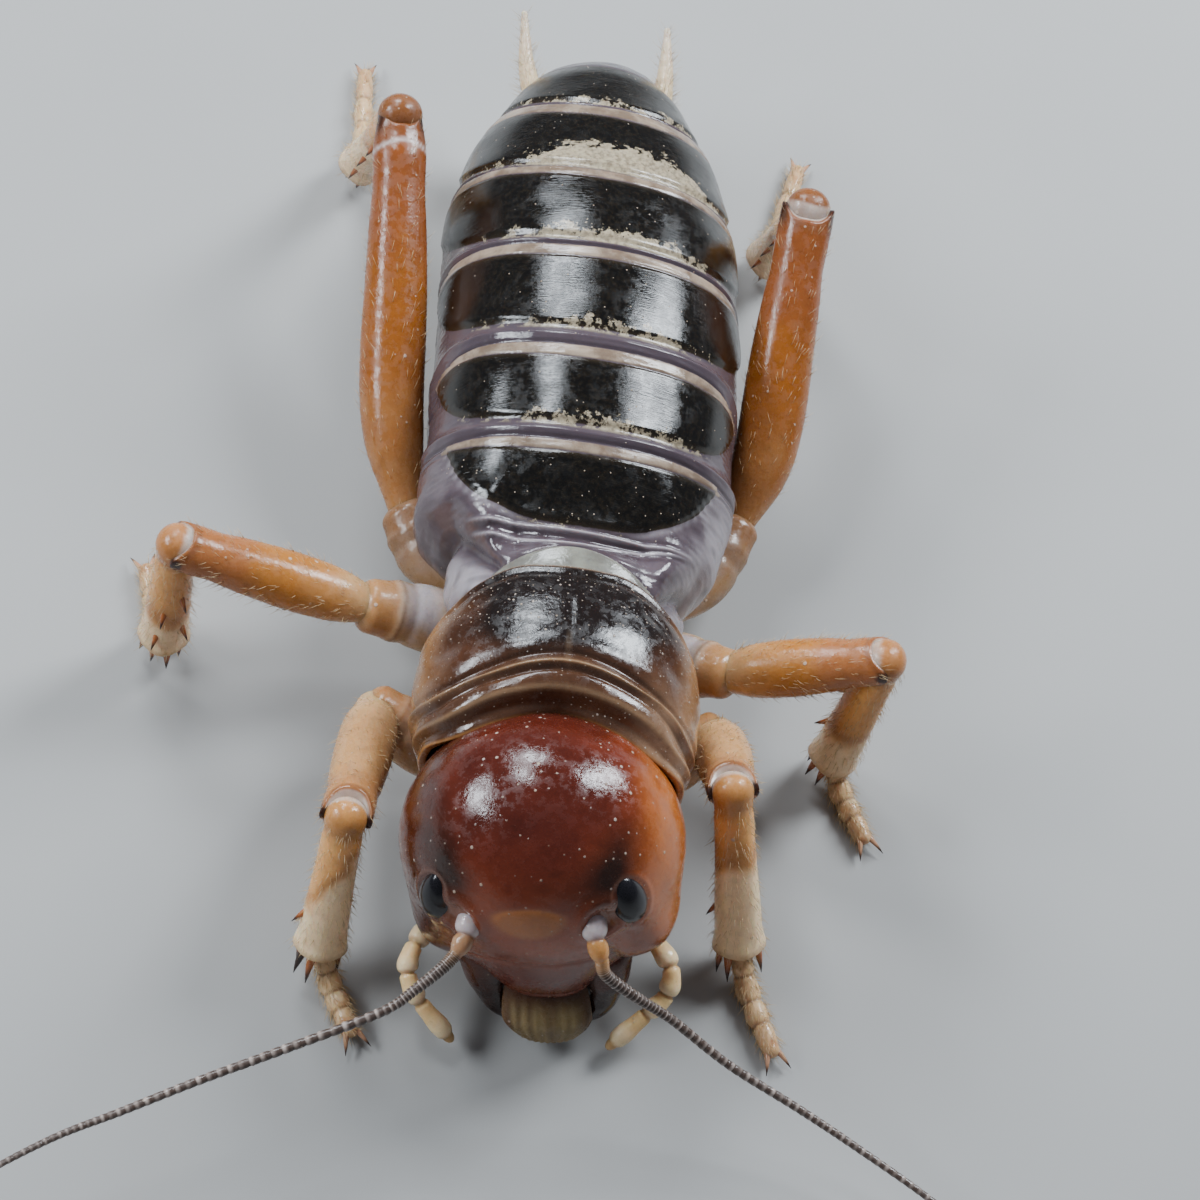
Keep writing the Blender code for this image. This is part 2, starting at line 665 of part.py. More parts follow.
def claws(ankle, toe):
    """Two claws that leave the toe to both sides and end just over the floor."""
    ahead = unit((toe - ankle) * (1, 1, 0))
    aside = np.cross((0, 0, 1), ahead)
    length = CLAW_LENGTH + CLAW_ROOTED
    pieces = []
    for side in (-1, 1):
        turn = math.radians(CLAW_SPREAD * side)
        out = ahead * math.cos(turn) + aside * math.sin(turn)
        root = toe - ahead * CLAW_BACK + aside * CLAW_ASIDE * side
        drop = (root[2] - CLAW_CLEARANCE) / length
        pieces.append(spine(root, unit(out - (0, 0, drop)), length, CLAW_RADIUS))
    return pieces


def tarsus_route(leg):
    """From the ankle down to the floor, then flat along it to the toe."""
    ankle, toe = np.array(leg["ankle"]), np.array(leg["toe"])
    route = [ankle]
    for share in (0.25, 0.5, 0.75):
        point = ankle + (toe - ankle) * share
        point[2] = SOLE_HEIGHT + (ankle[2] - SOLE_HEIGHT) * max(0.0, 0.5 - share) * SOLE_DROP
        route.append(point)
    return [*route, toe]


def make_leg(name, leg):
    """A leg's four pieces, parted at each joint by a flat cut that halves the angle between them."""
    pair = name.split("_")[0]
    (base, knee, ankle, toe), directions = leg_directions(leg)
    side = np.cross(directions[1], directions[2])
    coxa = coxa_solid(f"{name}_coxa", pair, leg, material="leg_amber")
    femur = femur_solid(f"{name}_femur", pair, leg, material="leg_amber")
    shin = [knee, (knee + ankle) / 2, ankle]
    tibia = limb(f"{name}_tibia", shin, TIBIA_RADII[pair], "leg_amber", steps=8, side=side)
    tarsus = limb(
        f"{name}_tarsus", tarsus_route(leg), TARSUS_RADII, "foot_beige", sides=SLIM_SIDES, steps=9,
        side=np.array([0, 0, 1.0]),
    )
    boolean(tibia, tibia_spines(pair, knee, ankle, toe), "UNION")
    boolean(tarsus, claws(ankle, toe), "UNION")
    trim(tarsus, (0, 0, 0), (0, 0, -1))
    pieces = (coxa, femur, tibia, tarsus)
    for i, joint in enumerate((base, knee, ankle)):
        normal = unit(directions[i] + directions[i + 1])
        trim(pieces[i], joint - normal * GAP / 2, normal)
        trim(pieces[i + 1], joint + normal * GAP / 2, -normal)


def make_trunk():
    """Pronotum, prosternum, rear thorax and abdomen, cut free of the head, the legs and the cerci."""
    pronotum = loft("pronotum", trunk_rings(PRONOTUM, LOBE_SQUARE, TRUNK_X), "pronotum_cuticle")
    sternum = loft("prosternum", trunk_rings(PROSTERNUM, STERNUM_SQUARE, TRUNK_X), "membrane")
    plane, slope = np.array(THORAX_END), np.array(THORAX_SLOPE)
    thorax = loft("rear_thorax", trunk_rings(REAR_BODY[:8], BELLY_SQUARE), "membrane")
    trim(thorax, plane - slope * GAP / 2, slope)
    abdomen = loft("abdomen", abdomen_rings(), "tergite_black")
    trim(abdomen, plane + slope * GAP / 2, -slope)
    trim(abdomen, (0, 0, 0), (0, 0, -1))

    boolean(pronotum, [head_solid("cut", GAP), *leg_cutters(coxa_solid, ("front", "mid"))], "DIFFERENCE")
    boolean(sternum, [head_solid("cut", GAP), *leg_cutters(coxa_solid, ("front",))], "DIFFERENCE")
    shield = loft("cut", trunk_rings(PRONOTUM, LOBE_SQUARE, TRUNK_X, SHIELD_GAP))
    limbs = [*leg_cutters(coxa_solid, ("mid", "hind")), *leg_cutters(femur_solid, ("hind",))]
    boolean(thorax, [shield, *limbs], "DIFFERENCE")
    cutters = [*leg_cutters(coxa_solid, ("hind",)), *leg_cutters(femur_solid, ("hind",))]
    for side, route in CERCUS.items():
        limb("cercus_" + side, route, CERCUS_RADII, "palp_cream", sides=SLIM_SIDES, steps=5)
        cutters.append(limb("cut", route, CERCUS_RADII, grow=GAP, sides=SLIM_SIDES, steps=5))
    boolean(abdomen, cutters, "DIFFERENCE")


def place_origin():
    """Moves every piece so that the middle of the box round them all, at its lowest level, is the origin."""
    bpy.context.view_layer.update()
    graph = bpy.context.evaluated_depsgraph_get()
    pieces = list(bpy.data.collections[MODEL].objects)
    lows, highs = [], []
    for obj in pieces:
        mesh = obj.evaluated_get(graph).to_mesh()
        places = np.array([vert.co for vert in mesh.vertices])
        lows.append(places.min(axis=0))
        highs.append(places.max(axis=0))
    low, high = np.min(lows, axis=0), np.max(highs, axis=0)
    stand = add_object(MODEL + "_stand", None)
    stand.location = (-(low[0] + high[0]) / 2, -(low[1] + high[1]) / 2, -low[2])
    for obj in pieces:
        obj.parent = stand


def main():
    clear_scene()
    for name in MATERIALS:
        make_material(name)
    make_head()
    make_antennae()
    make_trunk()
    for name, leg in LEGS.items():
        make_leg(name, leg)
    place_origin()


main()
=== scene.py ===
"""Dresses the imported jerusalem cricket: fine skins, plates, limbs and bristles round the fixed frame.

Every shape is worked out in millimetres in the body's own frame, where the body lies along Y with the head
towards -Y, +X is the animal's left and Z is up. SHIFT takes a point from there to the row frame, and each
mesh is made in metres. A surface is a grid of two parameters, worked out as whole arrays.
"""

import math

import bpy
import numpy as np
from bpy.props import FloatProperty, FloatVectorProperty, IntProperty, PointerProperty
from mathutils import Matrix


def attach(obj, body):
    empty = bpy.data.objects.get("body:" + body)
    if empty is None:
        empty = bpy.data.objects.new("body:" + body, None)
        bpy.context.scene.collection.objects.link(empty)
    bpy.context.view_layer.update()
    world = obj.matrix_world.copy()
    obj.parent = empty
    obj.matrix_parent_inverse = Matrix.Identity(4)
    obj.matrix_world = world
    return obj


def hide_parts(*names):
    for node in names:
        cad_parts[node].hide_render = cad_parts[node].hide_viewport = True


bl_info = {
    "name": "Jerusalem cricket model",
    "version": (1, 0, 0),
    "blender": (4, 5, 0),
    "location": "View3D > Sidebar > Cricket",
    "description": "Builds the fine surfaces of a life-size jerusalem cricket",
    "category": "Add Mesh",
}

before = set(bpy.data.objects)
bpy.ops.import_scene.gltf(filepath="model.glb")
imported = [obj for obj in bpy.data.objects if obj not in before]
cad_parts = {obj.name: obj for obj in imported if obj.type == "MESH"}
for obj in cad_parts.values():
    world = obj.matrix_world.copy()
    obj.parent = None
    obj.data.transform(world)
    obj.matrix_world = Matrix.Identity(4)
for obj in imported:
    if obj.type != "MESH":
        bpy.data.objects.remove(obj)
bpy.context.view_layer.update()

MM = 0.001
SHIFT = np.array([-0.397, 1.219, 0.0])
UP = np.array([0, 0, 1.0])
SIDES = {"left": 1, "right": -1}

# Trunk stations: y, half width, top height, bottom height, all in millimetres
TRUNK = [
    (-12.9, 3.2, 9.6, 4.2),
    (-12.0, 4.0, 10.1, 3.0),
    (-11.0, 4.6, 10.5, 2.2),
    (-9.6, 4.9, 11.2, 1.85),
    (-8.2, 4.8, 11.5, 1.7),
    (-6.8, 4.65, 11.3, 1.7),
    (-5.6, 4.6, 10.75, 1.7),
    (-4.7, 4.7, 10.55, 1.65),
    (-3.6, 4.9, 10.4, 1.5),
    (-2.6, 5.1, 10.5, 1.2),
    (-1.6, 5.5, 10.7, 0.9),
    (-0.4, 6.1, 10.9, 0.6),
    (2.0, 6.5, 11.3, 0.2),
    (5.0, 6.7, 11.7, -0.02),
    (8.0, 6.75, 11.85, -0.02),
    (11.0, 6.7, 11.8, -0.02),
    (14.0, 6.7, 11.55, -0.02),
    (17.0, 6.4, 11.0, 0.3),
    (19.5, 5.75, 10.3, 0.8),
    (21.5, 4.95, 9.5, 1.4),
    (23.5, 3.95, 8.65, 2.1),
    (25.0, 2.85, 7.7, 2.9),
    (25.8, 2.0, 7.0, 3.5),
]
TRUNK_SPANS = ((-12.9, -5.6, 80), (-5.6, 25.65, 600))  # where its rows start and end, and how many
# Front and rear edge of each plate, the share of the half girth where it ends, how blunt its end is, the
# hem's share of the space behind it, and how far the pale patch runs in from its front edge
TERGITES = [
    (-2.25, 0.7, 0.335, 4.0, 0.38, 0.0),
    (2.05, 5.05, 0.385, 7.0, 0.38, 0.45),
    (6.65, 10.25, 0.45, 7.0, 0.52, 0.5),
    (11.4, 15.0, 0.49, 7.0, 0.62, 0.75),
    (15.8, 19.4, 0.51, 7.0, 0.6, 1.75),
    (20.6, 24.15, 0.53, 7.0, 0.9, 0.4),
]
LAST_HEM = 1.1
PLATE_BOW = 1.0
PLATE_TILT = 0.035  # millimetres along Y for each one across, since the bands lie a little askew
COLLAR_AT = -3.45
CREASE_AT = -4.75
TRUNK_X = -0.3
TAIL_X = -0.4
BELLY_SQUARE = 0.85
TRUNK_SIDES = 140

# Pronotum stations: y, half width, top height
SHIELD = [
    (-12.1, 5.3, 12.3),
    (-11.7, 5.45, 12.45),
    (-11.3, 5.6, 12.6),
    (-10.7, 5.52, 12.45),
    (-9.6, 5.65, 12.65),
    (-8.3, 5.55, 12.65),
    (-7.0, 5.3, 12.4),
    (-5.8, 5.0, 12.05),
    (-4.9, 4.75, 11.75),
    (-3.8, 4.4, 11.3),
]
SHIELD_MIDDLE = 8.4  # height where the shield is widest
SHIELD_DROP = 4.6  # how far its lower corners reach below that
SHIELD_TURN = math.radians(128)
SHIELD_ROWS = 190
SHIELD_COLUMNS = 220
# Ridges and grooves along the shield's front: height, distance from the front rim, width
SHIELD_RIDGES = [
    (-0.1, 0.42, 0.09),
    (-0.13, 1.0, 0.14),
    (0.1, 0.68, 0.09),
    (0.11, 1.32, 0.09),
    (-0.12, 1.66, 0.14),
    (0.03, 2.2, 0.3),
]

HEAD_CENTRE = np.array([-0.36, -15.24, 7.6])
HEAD_HALF = np.array([5.65, 4.9, 5.6])
HEAD_ROLL = -11.5
FACE_TOP = -0.5
FACE_BOTTOM = -4.8
FACE_FORWARD = 2.2
FACE_HALF_WIDTH = 3.0
EYE_AT = (3.78, 1.7)
EYE_HALF = (0.75, 1.3, 0.7)
EYE_SUNK = 0.25
HEAD_CELLS = 112  # along each edge of the cube that the round grid starts from
EYE_CELLS = 44

# In the head's own frame: a jaw's x, y, z and radius, then the lip's y, z, width and depth shares
MANDIBLE = [
    (2.5, -3.2, -3.4, 1.05),
    (2.35, -3.75, -4.8, 0.92),
    (1.9, -4.3, -6.0, 0.66),
    (1.0, -4.6, -6.8, 0.36),
]
LABRUM = [
    (-4.2, -4.2, 0.9, 0.5),
    (-4.75, -4.95, 1.0, 0.85),
    (-5.25, -5.7, 1.04, 1.0),
    (-5.45, -6.2, 0.92, 0.9),
    (-5.65, -6.75, 0.55, 0.7),
]
LABRUM_HALF_WIDTH = 1.78
LABRUM_THICK = 0.8
# The long palps' routes are in the body's frame, and the short ones' in the head's
MAXILLARY_PALP = {
    "left": [(3.3, -15.9, 3.9), (4.6, -17.0, 3.4), (5.5, -18.2, 3.3), (5.5, -19.1, 2.6), (4.8, -19.8, 2.0),
             (3.6, -20.8, 1.0)],
    "right": [(-2.6, -15.7, 3.2), (-4.2, -17.2, 2.9), (-5.0, -18.9, 2.9), (-4.6, -20.1, 2.3),
              (-3.1, -21.2, 1.0)],
}
LABIAL_PALP = [(0.9, -0.9, -4.7), (1.5, -1.9, -5.8), (1.4, -2.7, -6.6)]

ANTENNA_BASE = {
    "left": [(1.6, -18.7, 9.5), (1.85, -19.8, 9.1), (2.05, -20.2, 8.8), (2.2, -20.45, 8.55)],
    "right": [(-2.85, -18.7, 8.4), (-3.0, -19.8, 8.15), (-3.15, -20.2, 8.0), (-3.3, -20.5, 7.85)],
}
ANTENNA = {
    "left": [(2.5, -20.85, 8.0), (3.9, -21.2, 6.9), (5.4, -21.5, 5.8), (7.9, -22.5, 4.3), (11.0, -23.6, 3.1),
             (13.5, -24.7, 2.4), (16.5, -26.3, 1.9), (19.3, -28.2, 1.6), (22.0, -30.3, 1.4)],
    "right": [(-3.75, -21.05, 7.6), (-4.7, -21.9, 7.2), (-5.9, -22.8, 6.8), (-9.2, -24.4, 6.3),
              (-12.3, -25.9, 6.0), (-15.1, -27.5, 6.1), (-17.1, -28.7, 6.4), (-19.0, -30.2, 6.9),
              (-21.2, -32.2, 7.6)],
}
CERCUS = {
    "left": [(2.5, 23.6, 5.6), (2.6, 26.0, 6.3), (2.5, 28.3, 7.0)],
    "right": [(-3.2, 23.3, 5.4), (-4.0, 25.8, 6.0), (-4.4, 28.2, 7.0)],
}

# Each leg's route: root inside the trunk, coxa and base of the femur, then knee, ankle and toe
LEGS = {
    "front_left": ([(3.4, -9.5, 2.9), (5.0, -9.1, 3.5), (6.8, -8.0, 4.3)],
                   (7.0, -12.6, 8.4), (8.5, -16.2, 1.7), (10.2, -20.2, 0.5)),
    "front_right": ([(-4.0, -9.5, 2.9), (-5.6, -9.3, 3.5), (-7.5, -8.6, 4.3)],
                    (-8.1, -15.4, 8.0), (-8.6, -18.2, 1.8), (-7.0, -21.2, 0.5)),
    "mid_left": ([(3.6, -4.0, 3.0), (5.2, -4.6, 4.0), (6.9, -5.4, 5.0)],
                 (13.2, -5.6, 8.0), (12.3, -6.9, 1.5), (13.9, -10.1, 0.5)),
    "mid_right": ([(-4.0, -3.7, 3.0), (-5.9, -3.8, 4.0), (-8.2, -4.1, 5.0)],
                  (-16.3, -4.0, 8.0), (-16.9, -4.6, 1.5), (-18.2, -1.0, 0.5)),
    "hind_left": ([(4.2, -0.6, 2.8), (6.0, 0.5, 3.0), (7.3, 2.8, 3.5)],
                  (8.9, 15.2, 11.0), (8.7, 19.8, 1.5), (10.1, 26.2, 0.5)),
    "hind_right": ([(-4.1, -0.3, 2.8), (-6.0, 0.0, 3.0), (-7.2, 1.5, 3.5)],
                   (-9.5, 17.6, 11.0), (-11.3, 22.4, 1.5), (-11.8, 28.8, 0.5)),
}
COXA_RADII = {"front": (1.4, 1.4, 1.05), "mid": (1.4, 1.4, 1.1), "hind": (1.5, 1.4, 1.05)}
FEMUR_RADII = {
    "front": (0.8, 1.14, 1.18, 1.08, 0.96),
    "mid": (0.74, 1.14, 1.24, 1.12, 0.98),
    "hind": (0.62, 1.32, 1.43, 1.27, 1.08),
}
KNEE_GAP = {"front": 0.8, "mid": 0.5, "hind": 0.75}  # how far before the knee the femur's tube ends
KNEE_LOBE = {"front": 0.95, "mid": 0.62, "hind": 0.85}  # how far its two side lobes reach on from there
HIND_BOW = 0.55
TIBIA_RADII = {
    "front": (0.8, 0.78, 0.84, 0.93, 0.98),
    "mid": (0.88, 0.86, 0.92, 1.0, 1.04),
    "hind": (0.94, 0.84, 0.8, 0.9, 1.02),
}
TIBIA_TURN = {"front": 0.47, "mid": 0.7, "hind": 0.5}  # share of its length where its amber turns pale
KNEE_COLOUR = {"front": (0.45, 0.2, 0.06), "mid": (0.38, 0.15, 0.05), "hind": (0.13, 0.036, 0.016)}
KNEE_SKIN = {  # how far behind the knee its whitish skin reaches, where -9 is none
    "front_left": 0.24,
    "front_right": 0.1,
    "mid_left": 0.08,
    "mid_right": 0.08,
    "hind_left": 0.22,
    "hind_right": -9.0,
}
TARSUS_RADII = (0.42, 0.47, 0.42, 0.47, 0.4, 0.45, 0.37, 0.4, 0.33)
TARSUS_WAISTS = (0.24, 0.5, 0.74)
TARSUS_PADS = (0.15, 0.39, 0.64)
TOE_HEIGHT = 0.5
SPUR_ANGLES = (60, 95, 138, 180, 222, 265, 300)  # round the tibia, where 0 faces the tarsus
SPINE_ROWS = {  # share of the tibia's length, angle round it
    "front": [(0.62, 205), (0.8, 160), (0.72, 120)],
    "mid": [(0.4, 160), (0.55, 205), (0.72, 150), (0.8, 215)],
    "hind": [(0.3, 150), (0.38, 212), (0.52, 148), (0.6, 214), (0.75, 150), (0.82, 212)],
}
SPUR_LENGTH = {"front": 1.5, "mid": 1.2, "hind": 1.3}
HAIR_SHARES = (0.7, 1.0, 1.0)  # of the count, on femur, tibia and foot
CERCUS_HAIRS = {"count": 260, "length": 0.55, "thick": 0.02, "lean": 0.4}
PALE_SPUR = ("front_right", 95)  # the one spur that is dark nearly from its root

CAMERA_TURNS = (-8.0, 59.0, 13.5)  # azimuth, elevation and roll
CAMERA_DISTANCE = 112.0
CAMERA_TARGET = np.array([1.35, -3.1, 6.0])
CAMERA_HALF_ANGLE = 12.75
SENSOR_MM = 36.0
FLOOR_REACH = 0.6  # in metres, as is the next
FLOOR_DROP = 0.00002
LIGHT_AIM = np.array([0.0, -2.0, 6.0])
LIGHT_DISTANCE = 150
LIGHT_COLOUR = (0.86, 0.93, 1.0)
# Each light's way to the camera's right, up and back, its width and height in millimetres, and its power
LIGHTS = {
    "window_left": ((-0.73, 0.4, 0.55), 36, 96, 0.21),
    "window_right_high": ((0.6, 0.68, 0.4), 44, 44, 0.17),
    "window_right_low": ((0.73, 0.66, 0.16), 44, 56, 0.17),
    "window_rear_high": ((-0.24, 0.79, 0.56), 30, 36, 0.07),
    "window_rear_low": ((-0.15, 0.95, 0.27), 60, 32, 0.12),
}


def colour_property(name, description, colour):
    """A colour of the panel, linear from 0 to 1."""
    return FloatVectorProperty(
        name=name, description=description, subtype="COLOR", size=3, min=0.0, max=1.0, default=colour
    )


def length_property(name, description, millimetres):
    """A length of the panel, kept in metres."""
    return FloatProperty(
        name=name, description=description, subtype="DISTANCE", unit="LENGTH", min=0.0, precision=5,
        default=millimetres * MM,
    )


class CricketColours(bpy.types.PropertyGroup):
    crown: colour_property("Crown", "Back of the head, a dark mahogany", (0.15, 0.023, 0.009))
    face: colour_property("Face", "Front of the head, red-brown", (0.23, 0.045, 0.012))
    cheek: colour_property("Cheek", "Sides of the head, translucent orange", (0.42, 0.115, 0.02))
    brow: colour_property("Brow patch", "Patch between the feelers, amber", (0.45, 0.16, 0.03))
    mouth: colour_property("Mouth shield", "Labrum, olive", (0.24, 0.17, 0.075))
    jaw: colour_property("Jaws", "Mandibles, nearly black", (0.022, 0.008, 0.005))
    eye: colour_property("Eyes", "Compound eyes, black", (0.004, 0.004, 0.006))
    cream: colour_property("Cream", "Palps and cerci", (0.62, 0.47, 0.26))
    feeler: colour_property("Feelers", "Flagella between their pale rings", (0.075, 0.05, 0.04))
    shield: colour_property("Shield", "Middle of the pronotum, black-brown", (0.01, 0.006, 0.005))
    shield_mid: colour_property("Shield flank", "Pronotum around its dark middle", (0.07, 0.026, 0.012))
    shield_rim: colour_property("Shield rim", "Translucent margin of the pronotum", (0.29, 0.15, 0.07))
    plate: colour_property("Plates", "Tergites, glossy black", (0.0035, 0.003, 0.0026))
    hem: colour_property("Plate hems", "Cream rear margin of each tergite", (0.34, 0.26, 0.19))
    membrane: colour_property("Membrane", "Skin between the plates, mauve-grey", (0.1, 0.076, 0.086))
    pale: colour_property("Pale membrane", "Thin whitish skin at the limbs' roots", (0.52, 0.47, 0.5))
    belly: colour_property("Belly", "Underside, beige", (0.42, 0.27, 0.14))
    amber: colour_property("Amber", "Femora", (0.43, 0.165, 0.032))
    rose: colour_property("Knee", "Far ends of the femora, rosy brown", (0.36, 0.13, 0.045))
    beige: colour_property("Shin", "Far ends of the tibiae and the feet", (0.7, 0.48, 0.26))
    spur: colour_property("Spurs", "Tips of spurs and claws", (0.03, 0.012, 0.008))
    dust: colour_property("Dust", "Fine grains that lie on the cuticle", (0.55, 0.42, 0.3))


class CricketSizes(bpy.types.PropertyGroup):
    plate_rise: length_property("Plate rise", "How far a tergite stands over the membrane", 0.2)
    shield_thick: length_property("Shield thickness", "Thickness of the pronotum's plate", 0.36)
    bristle: length_property("Bristle length", "Mean length of the fine hairs on the legs", 0.42)
    bristle_thick: length_property("Bristle thickness", "Thickness of a hair at its root", 0.026)
    ring_length: length_property("Feeler ring", "Length of one ring of a flagellum", 0.3)
    bristles: IntProperty(name="Bristles", description="Hairs on each leg", min=0, default=520)
    seed: IntProperty(name="Seed", description="Start of every random draw", default=11)


def colours():
    """The colours that the panel shows, as arrays by name."""
    group = bpy.context.scene.cricket_colours
    return {name: np.array(getattr(group, name)) for name in CricketColours.__annotations__}


def sizes():
    """The sizes that the panel shows, lengths in millimetres."""
    group = bpy.context.scene.cricket_sizes
    found = {name: getattr(group, name) for name in CricketSizes.__annotations__}
    return {name: value if isinstance(value, int) else value / MM for name, value in found.items()}


def unit(vector):
    """The vector, or each row of vectors, over its own length."""
    vector = np.asarray(vector, float)
    return vector / np.linalg.norm(vector, axis=-1, keepdims=True)


def step(low, high, x):
    """0 below low, 1 above high and a smooth rise between, 3t^2 - 2t^3."""
    t = np.clip((np.asarray(x, float) - low) / (high - low), 0, 1)
    return t * t * (3 - 2 * t)


def hump(x, centre, width):
    """A bell of height 1, exp(-((x - centre) / width)^2)."""
    return np.exp(-(((x - centre) / width) ** 2))


def blend(a, b, share):
    """Colour or value a where share is 0 and b where it is 1."""
    share = np.asarray(share)[..., None]
    return np.asarray(a) * (1 - share) + np.asarray(b) * share


def painted(base, *layers):
    """The base colour under layers of paint, each a colour and the share that it covers."""
    for colour, share in layers:
        base = blend(base, colour, share)
    return base


def smooth_route(points, at):
    """Catmull-Rom curve through the points, read at shares of its length from 0 to 1."""
    points = np.asarray(points, float)
    padded = np.vstack([2 * points[0] - points[1], points, 2 * points[-1] - points[-2]])
    at = np.asarray(at) * (len(points) - 1)
    index = np.clip(at.astype(int), 0, len(points) - 2)
    t = (at - index)[:, None]
    a, b, c, d = (padded[index + k] for k in range(4))
    even = 2 * b + (2 * a - 5 * b + 4 * c - d) * t**2
    return (even + (c - a) * t + (3 * b - a - 3 * c + d) * t**3) / 2


def smooth_table(knots, values, at, width):
    """Values between knots, each the mean of the straight lines over a window of the given width."""
    offsets = np.linspace(-1, 1, 9)
    weights = 1 - np.abs(offsets) * 0.85
    parts = [w * np.interp(at + o * width, knots, values) for o, w in zip(offsets, weights)]
    return sum(parts) / weights.sum()


def columns(table, at, width):
    """Each column of a table after its first, read at places of the first one and smoothed."""
    table = np.array(table)
    return [smooth_table(table[:, 0], column, at, width) for column in table[:, 1:].T]


def ripple(points, size, seed):
    """Soft irregular relief from -1 to 1: twelve plane waves of random direction, of about the given size."""
    rng = np.random.default_rng(seed)
    total = 0.0
    for _ in range(12):
        direction = unit(rng.normal(size=3)) * rng.uniform(0.6, 1.6) * 2 * math.pi / size
        total = total + np.sin(points @ direction + rng.uniform(0, 2 * math.pi))
    return total / 5


def circle(sides):
    """Even angles once round, without the last, which is the first again."""
    return np.linspace(0, 2 * math.pi, sides, endpoint=False)


def rings(turn, across, over):
    """Directions round a route: cos(turn) across + sin(turn) over, at every point of the route."""
    return np.cos(turn)[..., None] * across[:, None] + np.sin(turn)[..., None] * over[:, None]


def grid_normals(grid, wrap=True):
    """Unit normals of a grid of points from the cross product of its two differences."""
    along = np.gradient(grid, axis=0)
    around = np.roll(grid, -1, axis=1) - np.roll(grid, 1, axis=1) if wrap else np.gradient(grid, axis=1)
    normal = np.cross(around, along)
    return normal / np.maximum(np.linalg.norm(normal, axis=-1, keepdims=True), 1e-12)


def facing_up(normal, column):
    """The normals, turned round if the one half way along this column on the top points down."""
    return -normal if normal[len(normal) // 2, column, 2] < 0 else normal


def quads_of(index):
    """The four corners of each cell in a grid of point numbers."""
    corners = (index[:-1, :-1], index[1:, :-1], index[1:, 1:], index[:-1, 1:])
    return np.stack(corners, axis=-1).reshape(-1, 4)


def turned_out(points, quads, tris=None, marks=None):
    """A shell with its faces turned outwards, by the sign of the volume that they close in."""
    tris = np.zeros((0, 3), int) if tris is None else tris
    p = points - points.mean(axis=0)
    total = 0.0
    for faces in (quads[:, :3], quads[:, [0, 2, 3]], tris):
        a, b, c = (p[faces[:, k]] for k in range(3))
        total += np.einsum("ij,ij->", a, np.cross(b, c))
    if total < 0:
        quads, tris = quads[:, ::-1], tris[:, ::-1]
    return {"points": points, "quads": quads, "tris": tris, "marks": marks or {}}


def with_poles(values):
    """A grid's values, one row for each point, and then the means of its first and its last ring."""
    ends = [values[end].mean(axis=0)[None] for end in (0, -1)]
    return np.concatenate([values.reshape(-1, *values.shape[2:]), *ends])


def tube(grid, marks):
    """A closed shell from rings of points, each end closed by triangles to the middle of its last ring."""
    rows, sides = grid.shape[:2]
    index = np.arange(rows * sides).reshape(rows, sides)
    quads = quads_of(np.concatenate([index, index[:, :1]], axis=1))[:, [0, 3, 2, 1]]
    j = np.arange(sides)
    k = (j + 1) % sides
    pole = np.full(sides, rows * sides)
    last = (rows - 1) * sides
    tris = np.concatenate([np.stack([pole, k, j], axis=1), np.stack([pole + 1, last + j, last + k], axis=1)])
    marks = {name: with_poles(value) for name, value in marks.items()}
    return turned_out(with_poles(grid), quads, tris, marks)


def sheet(middle, normals, half, marks):
    """A closed thin plate: grids half a thickness to each side of a middle one, which share their border."""
    rows, cols = middle.shape[:2]
    over = middle + normals * half[..., None]
    under = middle - normals * half[..., None]
    index = np.arange(rows * cols).reshape(rows, cols)
    lower = index + rows * cols
    border = np.ones((rows, cols), bool)
    border[1:-1, 1:-1] = False
    lower[border] = index[border]
    over[border] = middle[border]
    quads = np.concatenate([quads_of(index), quads_of(lower)[:, ::-1]])
    used, fresh = np.unique(quads, return_inverse=True)
    both = {"points": np.concatenate([over.reshape(-1, 3), under.reshape(-1, 3)])[used]}
    for name, value in marks.items():
        value = value.reshape(rows * cols, *value.shape[2:])
        both[name] = np.concatenate([value, value])[used]
    return turned_out(both.pop("points"), fresh.reshape(-1, 4), marks=both)


def round_grid(count):
    """Unit directions through an even grid on each face of a cube, merged where the faces meet."""
    t = np.tan(np.linspace(-math.pi / 4, math.pi / 4, count + 1))
    a, b = np.meshgrid(t, t, indexing="ij")
    one = np.ones_like(a)
    faces = [(one, a, b), (-one, b, a), (b, one, a), (a, -one, b), (a, b, one), (b, a, -one)]
    points = unit(np.concatenate([np.stack(face, axis=-1).reshape(-1, 3) for face in faces]))
    quad = quads_of(np.arange(one.size).reshape(one.shape))
    quads = np.concatenate([quad + k * one.size for k in range(len(faces))])
    _, first, merged = np.unique(np.round(points, 6), axis=0, return_index=True, return_inverse=True)
    return points[first], merged.reshape(-1)[quads]


def joined(shells):
    """One shell that holds all the given ones; each has the same marks."""
    starts = np.cumsum([0] + [len(shell["points"]) for shell in shells[:-1]])
    out = {key: np.concatenate([shell[key] + start for shell, start in zip(shells, starts)])
           for key in ("quads", "tris")}
    out["points"] = np.concatenate([shell["points"] for shell in shells])
    names = shells[0]["marks"]
    out["marks"] = {name: np.concatenate([shell["marks"][name] for shell in shells]) for name in names}
    return out


